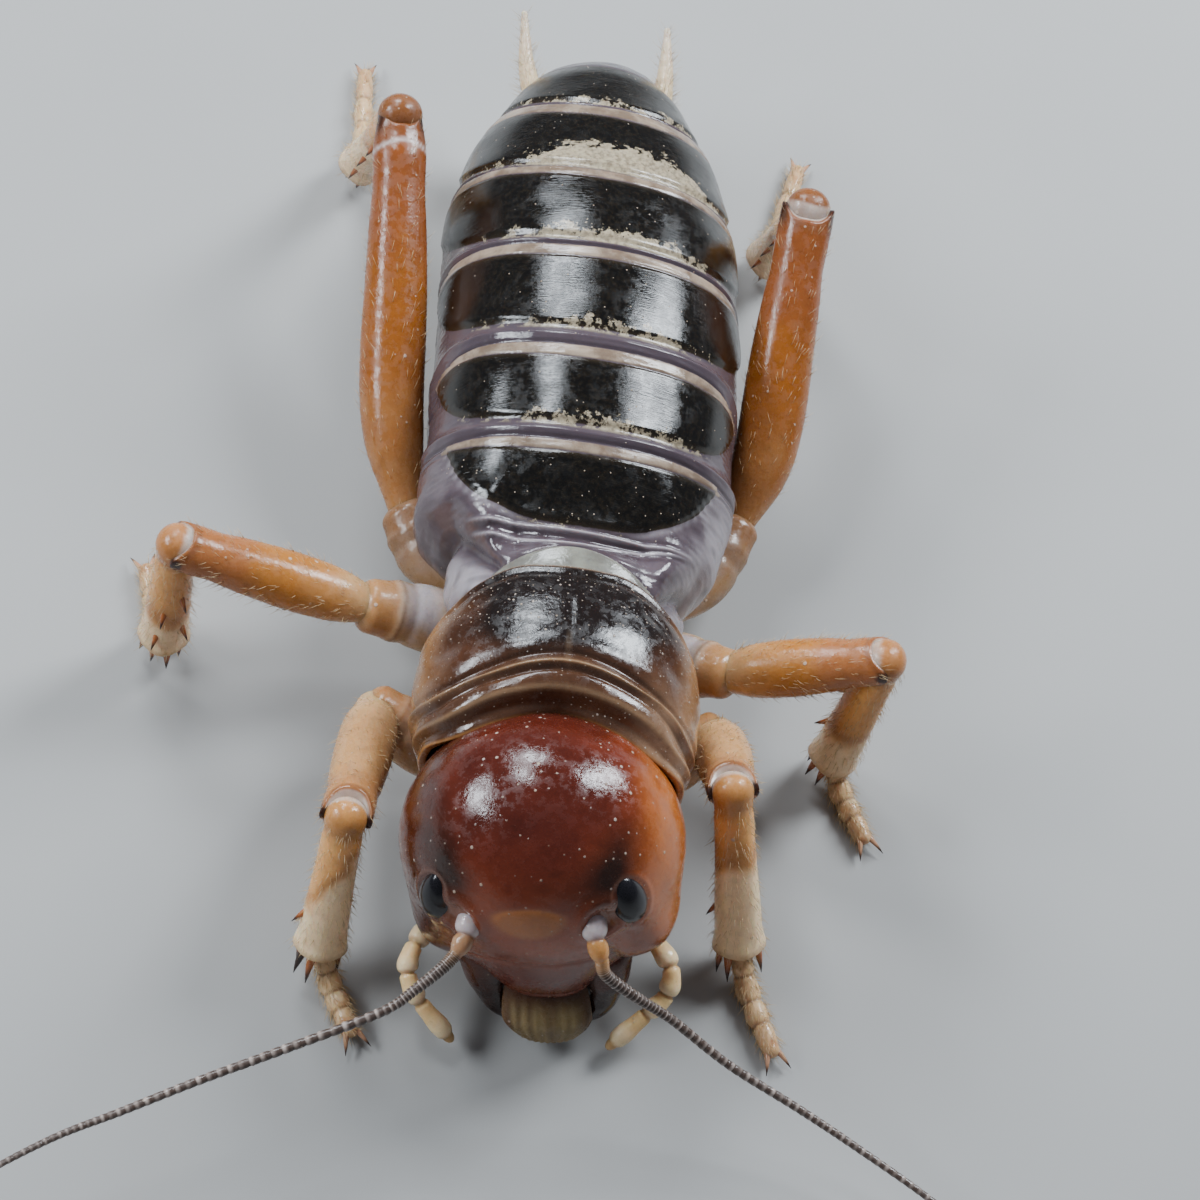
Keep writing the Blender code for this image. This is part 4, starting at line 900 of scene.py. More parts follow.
def head_shell():
    """The head capsule: a round grid carried to an ellipsoid whose face runs straight down to the mouth.

    Below FACE_TOP the middle of the front moves forward by FACE_FORWARD t^2. Grooves, pits and swellings
    are bells of the distance from each line or place, moved along the outward direction.
    """
    ball, quads = round_grid(HEAD_CELLS)
    forward = -ball[:, 1]
    local = ball * HEAD_HALF
    down = np.clip((FACE_TOP - local[:, 2]) / (FACE_TOP - FACE_BOTTOM), 0, 1) ** 2
    narrow = np.exp(-((local[:, 0] / FACE_HALF_WIDTH) ** 4))
    local[:, 1] -= FACE_FORWARD * down * step(0, 1, forward * 2.2 + 0.2) * narrow
    soft = FACE_BOTTOM - 0.15 * (1 - forward**2) + 0.5
    height = local[:, 2]
    local[:, 2] = np.where(height < soft, soft - 0.5 + 0.5 * np.exp((height - soft) / 0.5), height)
    x, y, z = local.T
    side = np.abs(x)
    ahead = step(0.0, 0.35, forward)
    low_middle = step(3.0, 2.4, side)
    eye_y = on_head(*EYE_AT)[0][1]
    off = np.sqrt(((side - EYE_AT[0]) ** 2 + (y - eye_y) ** 2) / 0.8**2 + ((z - EYE_AT[1]) / 1.36) ** 2)
    eye = np.where(forward > 0, off, 9.0)
    socket = np.sqrt((side - 2.75) ** 2 + ((z - 1.5) / 1.1) ** 2)
    patch = np.sqrt((x / 1.35) ** 2 + ((z - 1.95) / 0.72) ** 2)
    clypeus_edge = z + 1.15 + 0.03 * x**2
    genal = side - (2.95 + 0.084 * np.clip(-z - 1, 0, 4) - 0.25 * hump(z, -0.2, 0.9))
    relief = 0.035 * hump(eye, 1.12, 0.13) + 0.08 * hump(eye, 0.9, 0.9)
    relief += 0.08 * hump(socket, 0.85, 0.25) - 0.16 * step(0.7, 0.3, socket)
    relief -= 0.012 * hump(patch, 1.0, 0.12)
    relief -= 0.05 * hump(clypeus_edge, 0, 0.1) * low_middle * ahead
    relief -= 0.08 * hump(genal, 0, 0.18) * step(0.2, -0.9, z) * ahead
    relief += 0.85 * hump(side, 4.2, 1.15) * hump(z, -2.5, 1.6) * step(-0.3, 0.3, forward)
    relief += 0.12 * hump(x, 0, 1.6) * hump(z, -2.7, 1.2)
    relief -= 0.05 * hump(z, -4.1, 0.16) * low_middle
    relief += 0.022 * ripple(local, 2.6, 31)
    relief = np.where(forward < 0.02, np.minimum(relief, 0.05), relief)
    points = local + unit(local / HEAD_HALF**2) * (relief * (0.3 + 0.7 * ahead))[:, None]
    c = colours()
    blotch = ripple(local, 2.2, 32) * 0.3 + ripple(local, 0.8, 33) * 0.12
    cheek_left = step(3.5, 5.2, x + 0.55 * blotch + 0.25 * step(-1.5, -4.0, z))
    cheek_right = step(4.4, 5.7, -x + 0.55 * blotch) * 0.3
    # behind is the back of the head under the shield, which gets painted shade below.
    behind = step(-0.2, -0.55, forward) * step(3.6, 2.2, x)
    smudge = hump(side, 3.1, 0.85) * hump(z, 3.2, 0.95) * ahead
    paint = painted(
        c["face"],
        (c["crown"], step(1.6, 4.6, z + blotch - 0.075 * side)),
        # Painted shade: the top of the head by the shield's rim and its back under the shield are darkened.
        ((0.06, 0.01, 0.006), np.maximum(step(3.9, 5.3, z + 0.5 * blotch), behind) * 0.85),
        (c["face"] * (1.7, 1.7, 1.5), hump(z, 0.6, 1.0) * hump(x, 0.6, 2.0) * 0.45),
        (c["face"] * (0.55, 0.35, 0.25), step(-0.9, -2.2, z) * step(3.6, 2.4, side) * 0.85),
        (c["cheek"], np.clip(cheek_left + cheek_right, 0, 1) * step(5.4, 3.6, z * 0.8)),
        (c["cheek"] * (0.95, 0.8, 0.7),
         step(3.9, 3.2, side) * step(2.5, 3.0, side) * hump(z, -0.8, 1.2) * ahead * 0.55),
        ((0.032, 0.007, 0.004), step(2.2, 4.2, -x + blotch) * (1 - cheek_right) * 0.85),
        ((0.018, 0.007, 0.004), np.clip(smudge * 1.1 + 0.25 * blotch * smudge, 0, 0.95)),
        (c["brow"], step(1.25, 0.75, patch + blotch * 0.25) * ahead * 0.6),
        (c["brow"] * 1.5, hump(patch, 0.98, 0.13) * step(1.7, 2.4, z) * ahead * 0.35),
        ((0.05, 0.012, 0.006), hump(genal, 0, 0.25) * step(0.2, -0.6, z) * ahead * 0.6),
        ((0.3, 0.13, 0.08), step(0.8, 0.5, socket) * ahead * 0.7),
        ((0.3, 0.14, 0.09), hump(eye, 1.1, 0.06) * 0.3),
        ((0.05, 0.014, 0.007), step(-4.2, -4.8, z) * 0.8),
    )
    dust = 0.16 + 0.1 * hump(z, 4.4, 1.5) + 0.1 * hump(z, -2.0, 2.0) + 0.25 * hump(socket, 1.1, 0.5)
    return turned_out(from_head(points), quads, marks={"paint": paint, "dust": dust})


def eye_shell(sign):
    """A compound eye: a long oval dome that stands up in the head's surface, sunk to near its half depth."""
    point, out = on_head(sign * EYE_AT[0], EYE_AT[1])
    up = unit(UP - out[2] * out)
    across = np.cross(up, out)
    ball, quads = round_grid(EYE_CELLS)
    wide = ball[:, :1] * (1 - 0.12 * ball[:, 1:2])
    local = point - out * EYE_SUNK + wide * across * EYE_HALF[0]
    local = local + ball[:, 1:2] * up * EYE_HALF[1] + ball[:, 2:3] * out * EYE_HALF[2]
    return turned_out(from_head(local), quads)


def eye_finish():
    """Black glass with a net of tiny facets."""
    f = Finish("eye_black", 0.17, coat=0.1)
    facets = f.add("TexVoronoi", {"Vector": f.millimetres(), "Scale": 22.0}).outputs["Distance"]
    shade = f.mix(f.ranged(facets, 0.2, 0.6), colours()["eye"], (0.012, 0.011, 0.014))
    return f.done(shade, (facets, 0.008, 0.35))


def limb(route, radii, rows, sides, side, shape, low_cap=0.95, high_cap=0.95):
    """A round limb on a smooth route: rings of the given radii, closed by a dome at each end.

    Returns the grid, the share s along it, the angle round it (0 towards side, a quarter turn towards the
    cross product of the route and side), its normals and the route's directions. shape(s, angle) scales
    each radius.
    """
    caps = np.radians(np.linspace(8, 84, 8))
    s = np.linspace(0, 1, rows)
    path = smooth_route(route, s)
    radius = smooth_table(np.linspace(0, 1, len(radii)), radii, s, 0.5 / max(len(radii) - 1, 2))
    tangent = unit(np.gradient(path, axis=0))
    reach = np.concatenate([-np.sin(caps[::-1]) * low_cap, np.zeros(rows), np.sin(caps) * high_cap])
    size = np.concatenate([np.cos(caps[::-1]), np.ones(rows), np.cos(caps)])
    pick = np.clip(np.arange(len(size)) - len(caps), 0, rows - 1)
    radius, tangent, path, s = radius[pick], tangent[pick], path[pick], s[pick]
    centre = path + tangent * (reach * radius)[:, None]
    across = unit(side - (tangent @ side)[:, None] * tangent)
    share, angle = np.broadcast_arrays(s[:, None], circle(sides)[None, :])
    round_part = rings(angle, across, np.cross(tangent, across))
    grid = centre[:, None] + round_part * (shape(share, angle) * (radius * size)[:, None])[..., None]
    normal = grid_normals(grid)
    flip = np.sign(np.einsum("ijk,ijk->", normal, round_part))
    full = np.broadcast_to(size[:, None], share.shape)
    return {"grid": grid, "s": share, "angle": angle, "normal": normal * flip, "along": tangent,
            "full": full}


def limb_shell(form, dust=0.06):
    """The closed skin of a limb, with its paint and an even share of dust."""
    return tube(form["grid"], {"paint": form["paint"], "dust": np.full_like(form["s"], dust)})


def over_floor(points, height):
    """Lifts the points that lie lower than a height up to it."""
    points[..., 2] = np.maximum(points[..., 2], height)


def angle_from(angle, place):
    """Distance round a limb from a place, in degrees from 0 to 180."""
    return np.abs((np.degrees(angle) - place + 180) % 360 - 180)


def spike(root, direction, length, radius, bend, base, spur, dark_from, rows=9):
    """A curved cone: rings that shrink as (1 - t)^0.8 along a route that bends by t^2, darker to its tip."""
    sides = 10
    t = np.linspace(0, 1, rows)[:, None]
    centre = root + direction * length * t + np.asarray(bend) * t**2
    size = radius * np.maximum(1 - t, 0.03) ** 0.8
    tangent = unit(np.gradient(centre, axis=0))
    across = unit(np.cross(tangent, UP if abs(direction[2]) < 0.9 else np.array([1.0, 0, 0])))
    ring = rings(circle(sides)[None, :], across, np.cross(tangent, across))
    grid = centre[:, None] + ring * size[..., None]
    over_floor(grid, 0.02)
    t = np.broadcast_to(t, (rows, sides))
    return tube(grid, {"paint": blend(base, spur, step(*dark_from, t)), "dust": np.zeros_like(t)})


class Leg:
    """One leg, with the route of its joints. Each of its four lengths is made as a limb with its paint.

    Every method takes the colours; in the shapes, s is the share along a limb and a the angle round it.
    """

    def __init__(self, name):
        coxa, *joints = LEGS[name]
        self.name, self.pair = name, name.split("_")[0]
        self.front, self.hind = self.pair == "front", self.pair == "hind"
        self.drawn_out = name == "hind_right"  # its knee is a narrower, redder one
        self.seed = list(LEGS).index(name) * 10
        self.route = np.array(coxa, float)
        self.base = self.route[-1]
        self.knee, self.ankle, self.toe = (np.array(point, float) for point in joints)
        self.reach = unit(self.knee - self.base)
        self.hinge = unit(np.cross(self.reach, unit(self.ankle - self.knee)))

    def coxa(self, c):
        """The hip: a short tube from inside the trunk with a swollen ring, and a painted highlight in the
        pale skin colour where it faces up.
        """
        aside = unit(np.cross(unit(self.route[-1] - self.route[0]), UP))

        def shape(s, a):
            return 1 + 0.05 * hump(s, 0.8, 0.05) - 0.04 * hump(s, 0.68, 0.04) + 0.04 * np.cos(2 * a + 1)

        form = limb(self.route, COXA_RADII[self.pair], 70, 44, aside, shape, high_cap=0.6)
        s = form["s"]
        cloud = ripple(form["grid"], 1.4, self.seed + 1)
        # Painted highlight: the pale skin colour laid where the hip faces up.
        painted_highlight = step(0.1, 0.8, form["normal"][..., 2] + 0.4 * cloud)
        form["paint"] = painted(
            c["beige"] * (0.72, 0.66, 0.6),
            (c["pale"], painted_highlight * (0.85 * hump(s, 0.62, 0.2) if self.pair == "mid" else 0.35)),
            (c["amber"] * (0.95, 0.9, 0.9), step(0.8, 0.88, s) * 0.6),
            ((0.16, 0.07, 0.03), hump(s, 0.8, 0.02) * 0.6),
            ((0.16, 0.075, 0.03), step(0.1, 0.7, s) * 0.75 * self.hind),
            (c["amber"], 0.5 * self.front),
        )
        return form

    def femur(self, c):
        """The thigh: a tube that ends before the knee, with two side lobes that reach on round it."""
        base, knee, reach, pair = self.base, self.knee, self.reach, self.pair
        bow = np.array([HIND_BOW * self.hind * np.sign(base[0]), 0, 0])
        route = [base, base + 0.25 * (knee - base) + bow, base + 0.6 * (knee - base) + bow / 2,
                 knee - reach * KNEE_GAP[pair]]

        def shape(s, a):
            lobes = 0.05 * step(0.86, 0.98, s) * np.cos(a) ** 4 - 0.2 * self.drawn_out * step(0.93, 1.0, s)
            return 1 + lobes + 0.03 * np.cos(2 * a) - 0.04 * hump(s, 0.86, 0.06)

        form = limb(route, FEMUR_RADII[pair], 150, 52, self.hinge, shape, high_cap=0.3)
        s, a, full = form["s"], form["angle"], form["full"]
        on = KNEE_LOBE[pair] * step(0.9, 1.0, s) * np.cos(a) ** 4 * full
        form["grid"] = form["grid"] + reach * on[..., None]
        cloud = ripple(form["grid"], 1.8, self.seed + 2)
        far = 0.75 if self.front else 0.6
        paint = painted(
            c["amber"],
            (c["beige"] * (1.0, 0.95, 0.9), step(0.55, 0.0, s + 0.08 * cloud) * 0.6),
            (c["beige"] * (0.92, 0.8, 0.7), 0.6 * self.front),
            (c["rose"], step(far, far + 0.2, s + 0.05 * cloud) * (0.5 if self.front else 0.9)),
            (c["amber"] * (0.85, 0.65, 0.5), step(100, 170, angle_from(a, 90)) * 0.5),
        )
        paint = blend(paint, paint * (0.58, 0.42, 0.28), 0.85 * self.hind)
        from_knee = form["grid"] - knee
        before = -(from_knee @ reach)
        if self.drawn_out:
            line = before - 1.35 - 0.4 * np.cos(a) ** 2
            ends = [((0.2, 0.065, 0.022), step(0.15, -0.15, line) * 0.8),
                    ((0.6, 0.54, 0.52), hump(line, 0, 0.1) * 0.8)]
        else:
            ends = [((0.2, 0.07, 0.025), step(0.965, 0.985, s) * 0.65),
                    ((0.54, 0.44, 0.38), step(0.95, 0.85, full) * (s > 0.5) * 0.8)]
        flank = step(0.74, 0.93, np.abs(np.cos(a))) * step(1.5, 0.5, before)
        from_axis = from_knee - (from_knee @ self.hinge)[..., None] * self.hinge
        pivot = step(0.36, 0.24, np.linalg.norm(from_axis, axis=-1))
        form["paint"] = painted(
            paint,
            *ends,
            ((0.035, 0.013, 0.009), flank * 0.9 * self.hind),
            ((0.03, 0.01, 0.007), pivot * 0.95),
        )
        return form

    def tibia(self, c):
        """The shin: a round head at the knee, two low ridges down its back and a flared end."""
        knee, ankle, pair = self.knee, self.ankle, self.pair

        def shape(s, a):
            head = 0.04 * hump(s, 0.0, 0.05) - 0.05 * hump(s, 0.1, 0.05)
            flare = 0.08 * hump(s, 1.0, 0.07) * (1 + 0.6 * np.cos(4 * a))
            ridges = 0.03 * hump(angle_from(a, 90), 40, 12) * step(0.15, 0.3, s)
            return 1 + head + flare + ridges + 0.03 * np.cos(2 * a)

        shin = [knee, (knee + ankle) / 2, ankle]
        form = limb(shin, TIBIA_RADII[pair], 130, 52, self.hinge, shape, low_cap=1.0, high_cap=0.14)
        s = form["s"]
        cloud = ripple(form["grid"], 1.5, self.seed + 3)
        turned = self.name == "front_right"
        change = s + 0.05 * cloud + 0.22 * turned * np.cos(form["angle"])
        at = TIBIA_TURN[pair]
        white_to = KNEE_SKIN[self.name]
        behind = (form["grid"] - knee) @ self.reach
        knee_skin = step(white_to, white_to - 0.2, behind + 0.08 * cloud) * step(0.06, 0.04, s)
        # The shins' pale ends are painted lighter than the shin colour, and the front pair's whole shins
        # lighter still: painted light, standing in for light from the front.
        pale = c["beige"] * ((1.35, 1.45, 1.6) if self.front else (1.2, 1.25, 1.35))
        form["paint"] = painted(
            (0.8, 0.4, 0.13) if self.front else (0.64, 0.3, 0.085),
            (pale, step(at - 0.08, at + 0.08, change)),
            ((0.26, 0.085, 0.02), hump(change, at - 0.07, 0.07) * 0.5),
            (KNEE_COLOUR[pair], step(0.16, 0.05, s) * 0.85),
            ((0.58, 0.48, 0.42), knee_skin * (0.55 + 0.35 * step(-0.6, 0.6, cloud))),
            ((0.3, 0.13, 0.05), step(0.95, 1.0, s) * 0.45),
        )
        return form

    def tarsus(self, c):
        """The foot: four joints with pads below. It comes down from the ankle and lies on the floor."""
        route = [self.ankle]
        for share in (0.25, 0.5, 0.75):
            point = self.ankle + (self.toe - self.ankle) * share
            point[2] = TOE_HEIGHT + (self.ankle[2] - TOE_HEIGHT) * max(0.0, 0.5 - share) * 0.9
            route.append(point)

        def shape(s, a):
            waist = sum(hump(s, place, 0.025) for place in TARSUS_WAISTS)
            pads = sum(hump(s, place, 0.07) for place in TARSUS_PADS)
            below = step(80, 140, angle_from(a, 0)) * step(0.12, 0.3, s)
            return 1 - 0.12 * waist + (0.24 + 0.14 * pads) * below

        form = limb([*route, self.toe], TARSUS_RADII, 130, 36, UP, shape)
        s = form["s"]
        over_floor(form["grid"], 0.0)
        cloud = ripple(form["grid"], 1.0, self.seed + 4)
        form["paint"] = painted(
            c["beige"],
            (c["rose"], 0.35 * step(0.0, 1.0, cloud) + 0.3 * step(0.6, 1.0, s)),
            ((0.66, 0.52, 0.34), step(100, 160, angle_from(form["angle"], 0)) * 0.8),
            *(((0.2, 0.1, 0.05), hump(s, place, 0.018) * 0.6) for place in TARSUS_WAISTS),
        )
        return form

    def spurs(self, c):
        """Spines down the tibia, spurs round its end and two claws at the toe, each a curved cone."""
        foot = self.toe - self.ankle
        along = unit(self.ankle - self.knee)
        length = np.linalg.norm(self.ankle - self.knee)
        ahead = unit(foot - np.dot(foot, along) * along)
        across = np.cross(along, ahead)
        wanted = [(share, angle, 46, 0.8, 0.19) for share, angle in SPINE_ROWS[self.pair]]
        wanted += [(0.95, angle, 14 + 6 * (k % 2), SPUR_LENGTH[self.pair] * (1 - 0.12 * (k % 3)), 0.27)
                   for k, angle in enumerate(SPUR_ANGLES)]
        shells = []
        for share, angle, lean, reach, radius in wanted:
            out = math.cos(math.radians(angle)) * ahead + math.sin(math.radians(angle)) * across
            direction = math.cos(math.radians(lean)) * along + math.sin(math.radians(lean)) * out
            size = np.interp(share, np.linspace(0, 1, 5), TIBIA_RADII[self.pair])
            root = self.knee + along * length * share + out * (size - radius * 1.3)
            full = reach + radius * 1.3
            if direction[2] < 0:
                full = min(full, (root[2] - 0.12) / -direction[2])
            tip = 0.2 if (self.name, angle) == PALE_SPUR else 0.62
            shells.append(spike(root, direction, full, radius, -out * 0.12 * reach,
                                c["rose"] * (1.1, 0.9, 0.7), c["spur"], (tip - 0.15, tip + 0.2)))
        flat = unit(foot * (1, 1, 0))
        aside = np.cross(UP, flat)
        for sign in (-1, 1):
            turn = math.radians(22 * sign)
            direction = unit(flat * math.cos(turn) + aside * math.sin(turn) + (0, 0, 0.12))
            root = self.toe - flat * 0.1 + aside * 0.14 * sign
            shells.append(spike(root, direction, 1.1, 0.17, (0, 0, -0.34), (0.5, 0.26, 0.15), c["spur"],
                                (0.55, 0.85), rows=12))
        return shells


def bristle_shell(forms, shares, count, length, thick, seed, lean=0.55):
    """Fine hairs at random points of limbs: each a bent three-sided needle that leans to the limb's end.

    A hair has two rings and a tip, so ten triangles. Each limb gets its share of the count. Returns the shell
    and its patch on the bake's map.
    """
    rng = np.random.default_rng(seed)
    found = []
    for k, (form, share) in enumerate(zip(forms, shares)):
        grid = form["grid"]
        rows, sides = grid.shape[:2]
        area = np.prod([np.linalg.norm(np.gradient(grid, axis=axis), axis=-1) for axis in (0, 1)], axis=0)
        area[:9] = area[-5:] = 0
        pick = rng.choice(area.size, int(count * share), p=(area / area.sum()).ravel())
        i, j = np.unravel_index(pick, (rows, sides))
        place = np.stack([(k + 0.08 + 0.84 * i / rows) / len(forms), 0.05 + 0.9 * j / sides], axis=1)
        found.append((grid[i, j], form["normal"][i, j], form["along"][i], place))
    roots, normals, alongs, places = (np.concatenate(part) for part in zip(*found))
    n = len(roots)
    reach = length * rng.uniform(0.6, 1.5, (n, 1))
    direction = unit(normals * (1 - lean) + alongs * lean + rng.normal(0, 0.16, (n, 3)))
    across = unit(np.cross(direction, alongs + rng.normal(0, 0.3, (n, 3))))
    ring = rings(circle(3)[None, :], across, np.cross(direction, across))
    base = roots - normals * thick * 1.5
    bend = unit(alongs) * reach * 0.18
    low = base[:, None] + ring * thick / 2
    mid = (base + direction * reach * 0.55 + bend * 0.3)[:, None] + ring * thick * 0.33
    tip = (base + direction * reach + bend)[:, None]
    points = np.concatenate([low, mid, tip], axis=1)
    over_floor(points, 0.01)
    j, k = np.array([0, 1, 2]), np.array([1, 2, 0])
    quads = np.stack([j, k, k + 3, j + 3], axis=1)
    tris = np.concatenate([np.stack([j + 3, k + 3, np.full(3, 6)], axis=1), [[2, 1, 0]]])
    start = np.arange(n)[:, None, None] * 7
    quads, tris = ((part[None] + start).reshape(-1, part.shape[1]) for part in (quads, tris))
    shell = turned_out(points.reshape(-1, 3), quads, tris)
    local = np.array([[0, 0], [3, 0], [0, 3], [0, 1], [2, 1], [1, 3], [2, 3]]) * 0.001
    return shell, (places[:, None] + local).reshape(-1, 2)


def flagellum_form(side):
    """A feeler's ringed lash: a taper whose radius rises with phase^2 along each ring, drawn in between."""
    route = np.array(ANTENNA_BASE[side][-1:] + ANTENNA[side], float)
    dense = smooth_route(route, np.linspace(0, 1, 400))
    length = np.linalg.norm(np.diff(dense, axis=0), axis=1).sum()
    count = int(length / sizes()["ring_length"])

    def shape(s, a):
        phase = (s * count) % 1.0
        return 1 + 0.14 * phase**2 - 0.2 * hump(phase, 0.0, 0.09) - 0.2 * hump(phase, 1.0, 0.09)

    radii = (0.26, 0.24, 0.2, 0.18, 0.17, 0.16, 0.14, 0.12, 0.08)
    form = limb(route, radii, count * 7, 14, UP, shape)
    s = form["s"]
    phase = (s * count) % 1.0
    # Each ring's swollen end is painted pale, at a brightness that changes from ring to ring: a painted
    # highlight for the rings' silvery sheen.
    ring_highlight = 0.62 + 0.3 * np.sin(np.floor(s * count) * 2.4)
    form["paint"] = painted(
        colours()["feeler"],
        ((0.5, 0.41, 0.36), step(0.5, 0.85, phase) * step(1.0, 0.93, phase) * ring_highlight),
        ((0.46, 0.24, 0.1), step(0.12, 0.02, s) * (0.85 if side == "left" else 0.3)),
        ((0.05, 0.035, 0.03), step(0.5, 1.0, s) * 0.4),
    )
    return form


def scape_form(side):
    """A feeler's base: a swollen pale first joint, a waist, then a small amber second one."""
    radii = (0.36, 0.5, 0.54, 0.36, 0.4, 0.41, 0.38, 0.34, 0.26)
    form = limb(ANTENNA_BASE[side], radii, 80, 36, UP, lambda s, a: 1 - 0.12 * hump(s, 0.37, 0.03))
    amber = (0.55, 0.26, 0.08) if side == "left" else (0.45, 0.25, 0.13)
    form["paint"] = painted(
        (0.56, 0.47, 0.47),
        (amber, step(0.34, 0.4, form["s"])),
        ((0.3, 0.13, 0.05), hump(form["s"], 0.37, 0.03) * 0.6),
    )
    return form


def palp_form(route, radii, joints):
    """A palp: joints that swell towards their far ends and are drawn in between."""
    def shape(s, a):
        phase = (s * joints) % 1.0
        swollen = 0.86 + 0.2 * hump(phase, 0.7, 0.26)
        return swollen - 0.24 * hump(phase, 0.0, 0.07) - 0.24 * hump(phase, 1.0, 0.07)

    form = limb(route, radii, 26 * joints, 28, UP, shape)
    phase = (form["s"] * joints) % 1.0
    # The palps are painted a lighter copy of the cream: painted light that makes up for the shade under the
    # head.
    form["paint"] = painted(
        colours()["cream"] * (1.5, 1.3, 1.1),
        ((0.9, 0.74, 0.5), step(0.3, 0.8, phase) * 0.6),
        ((0.03, 0.009, 0.006), step(0.1, 0.05, form["s"]) * 0.9),
        ((0.36, 0.22, 0.09), (hump(phase, 0.0, 0.08) + hump(phase, 1.0, 0.08)) * 0.7),
    )
    over_floor(form["grid"], 0.02)
    return form


def mandible_form(sign):
    """A jaw: a thick horn that narrows and bends inwards to a blunt tip under the labrum."""
    route = from_head([(sign * x, y, z) for x, y, z, _ in MANDIBLE])
    form = limb(route, [r for *_, r in MANDIBLE], 90, 48, np.array([0, 1.0, 0]),
                lambda s, a: 1 - 0.05 * hump(s, 0.45, 0.1) + 0.04 * np.cos(2 * a) * s)
    cloud = ripple(form["grid"], 1.2, 61)
    redder = step(0.5, 0.0, form["s"] + 0.15 * cloud) * 0.8
    form["paint"] = blend(colours()["jaw"], (0.09, 0.022, 0.01), redder)
    return form


def labrum_shell():
    """The upper lip: sections across a shield that hangs from the face, fluted, with a rounded end."""
    at = np.linspace(0, 1, 80)[:, None]
    rows = np.array(LABRUM)
    middle = smooth_route(np.insert(rows[:, :2], 0, 0, axis=1), at[:, 0])
    knots = np.linspace(0, 1, len(LABRUM))
    width, depth = (smooth_table(knots, rows[:, k], at, 0.08) for k in (2, 3))
    turn = circle(90)
    end = step(1.0, 0.93, at)
    width = width * LABRUM_HALF_WIDTH * (0.5 + 0.5 * end)
    depth = depth * LABRUM_THICK / 2 * (0.35 + 0.65 * end)
    flute = 1 + 0.08 * np.cos(9 * np.pi * np.cos(turn)) * step(0.1, 0.4, at)
    x = width * np.cos(turn)
    y = middle[:, 1:2] + depth * np.sin(turn) * flute + 0.12 * (x / LABRUM_HALF_WIDTH) ** 2
    z = np.broadcast_to(middle[:, 2:3], x.shape)
    streak = ripple(np.stack([x * 3, 0 * x, z * 0.3], axis=-1), 1.6, 71)
    paint = painted(
        colours()["mouth"],
        ((0.12, 0.07, 0.03), step(0.0, 0.9, streak) * 0.7),
        ((0.06, 0.018, 0.008), step(0.42, 0.08, at)),
        ((0.09, 0.04, 0.018), step(1.15, 1.7, np.abs(x)) * 0.8),
    )
    return limb_shell({"grid": from_head(np.stack([x, y, z], axis=-1)), "paint": paint, "s": x}, 0.08)


def cercus_form(side):
    """A cercus: a soft pale spike that tapers from its root, with faint waves round it."""
    form = limb(CERCUS[side], (0.6, 0.5, 0.4, 0.27, 0.14), 90, 30, UP, lambda s, a: 1 + 0.02 * np.sin(s * 60))
    form["paint"] = blend(colours()["cream"] * (1.0, 0.95, 0.9), (0.62, 0.52, 0.4), form["s"])
    return form


class CRICKET_OT_trunk(bpy.types.Operator):
    """Neck, thorax and abdomen in one skin, with banded plates"""

    bl_idname = "cricket.trunk"
    bl_label = "Trunk"

    def execute(self, context):
        nodes = ("prosternum", "rear_thorax", "abdomen")
        put_piece("trunk_skin", trunk_shell(), trunk_finish(), nodes)
        return {"FINISHED"}


class CRICKET_OT_pronotum(bpy.types.Operator):
    """The shield over the prothorax, with its translucent rim and transverse grooves"""

    bl_idname = "cricket.pronotum"
    bl_label = "Pronotum"

    def execute(self, context):
        cuticle = painted_finish(
            "pronotum_shield", 0.17, coat=0.2, subsurface=0.12, mottle=0.45, mottle_scale=1.6, pore_scale=6.0,
            pore_depth=0.008, dust_scale=3.0, dust_size=0.17, wave=0.045, specular=0.5,
        )
        put_piece("pronotum_shield", shield_shell(), cuticle, ("pronotum",))
        return {"FINISHED"}


class CRICKET_OT_head(bpy.types.Operator):
    """The head capsule and its two compound eyes"""

    bl_idname = "cricket.head"
    bl_label = "Head"

    def execute(self, context):
        cuticle = painted_finish(
            "head_capsule", 0.17, coat=0.14, subsurface=0.15, mottle=0.4, mottle_scale=1.1, pore_scale=6.0,
            pore_depth=0.008, dust_size=0.16, wave=0.06, specular=0.5,
        )
        put_piece("head_capsule", head_shell(), cuticle, ("head",))
        black = eye_finish()
        for side, sign in SIDES.items():
            put_piece("compound_eye_" + side, eye_shell(sign), black, ("eye_" + side,))
        return {"FINISHED"}


class CRICKET_OT_mouthparts(bpy.types.Operator):
    """Labrum, mandibles and both pairs of palps"""

    bl_idname = "cricket.mouthparts"
    bl_label = "Mouthparts"

    def execute(self, context):
        lip = painted_finish("labrum_olive", 0.35, coat=0.1, subsurface=0.15, mottle=0.3)
        jaw = painted_finish("jaw_black", 0.22, coat=0.2, mottle=0.3)
        palp = painted_finish("palp_cream", 0.32, coat=0.1, subsurface=0.3, mottle=0.2, mottle_scale=2.5)
        put_piece("upper_lip", labrum_shell(), lip, ("labrum",))
        for side, sign in SIDES.items():
            long = palp_form(MAXILLARY_PALP[side], (0.4, 0.44, 0.42, 0.4, 0.38), 5)
            short = palp_form(from_head([(sign * x, y, z) for x, y, z in LABIAL_PALP]), (0.32, 0.29, 0.26), 3)
            for name, form, finish, slot, node in (
                ("jaw_", mandible_form(sign), jaw, "mandible_black", "mandible_"),
                ("long_palp_", long, palp, "palp_cream", "maxillary_palp_"),
                ("short_palp_", short, palp, "palp_cream", "labial_palp_"),
            ):
                put_piece(name + side, limb_shell(form), finish, (node + side,))
        return {"FINISHED"}


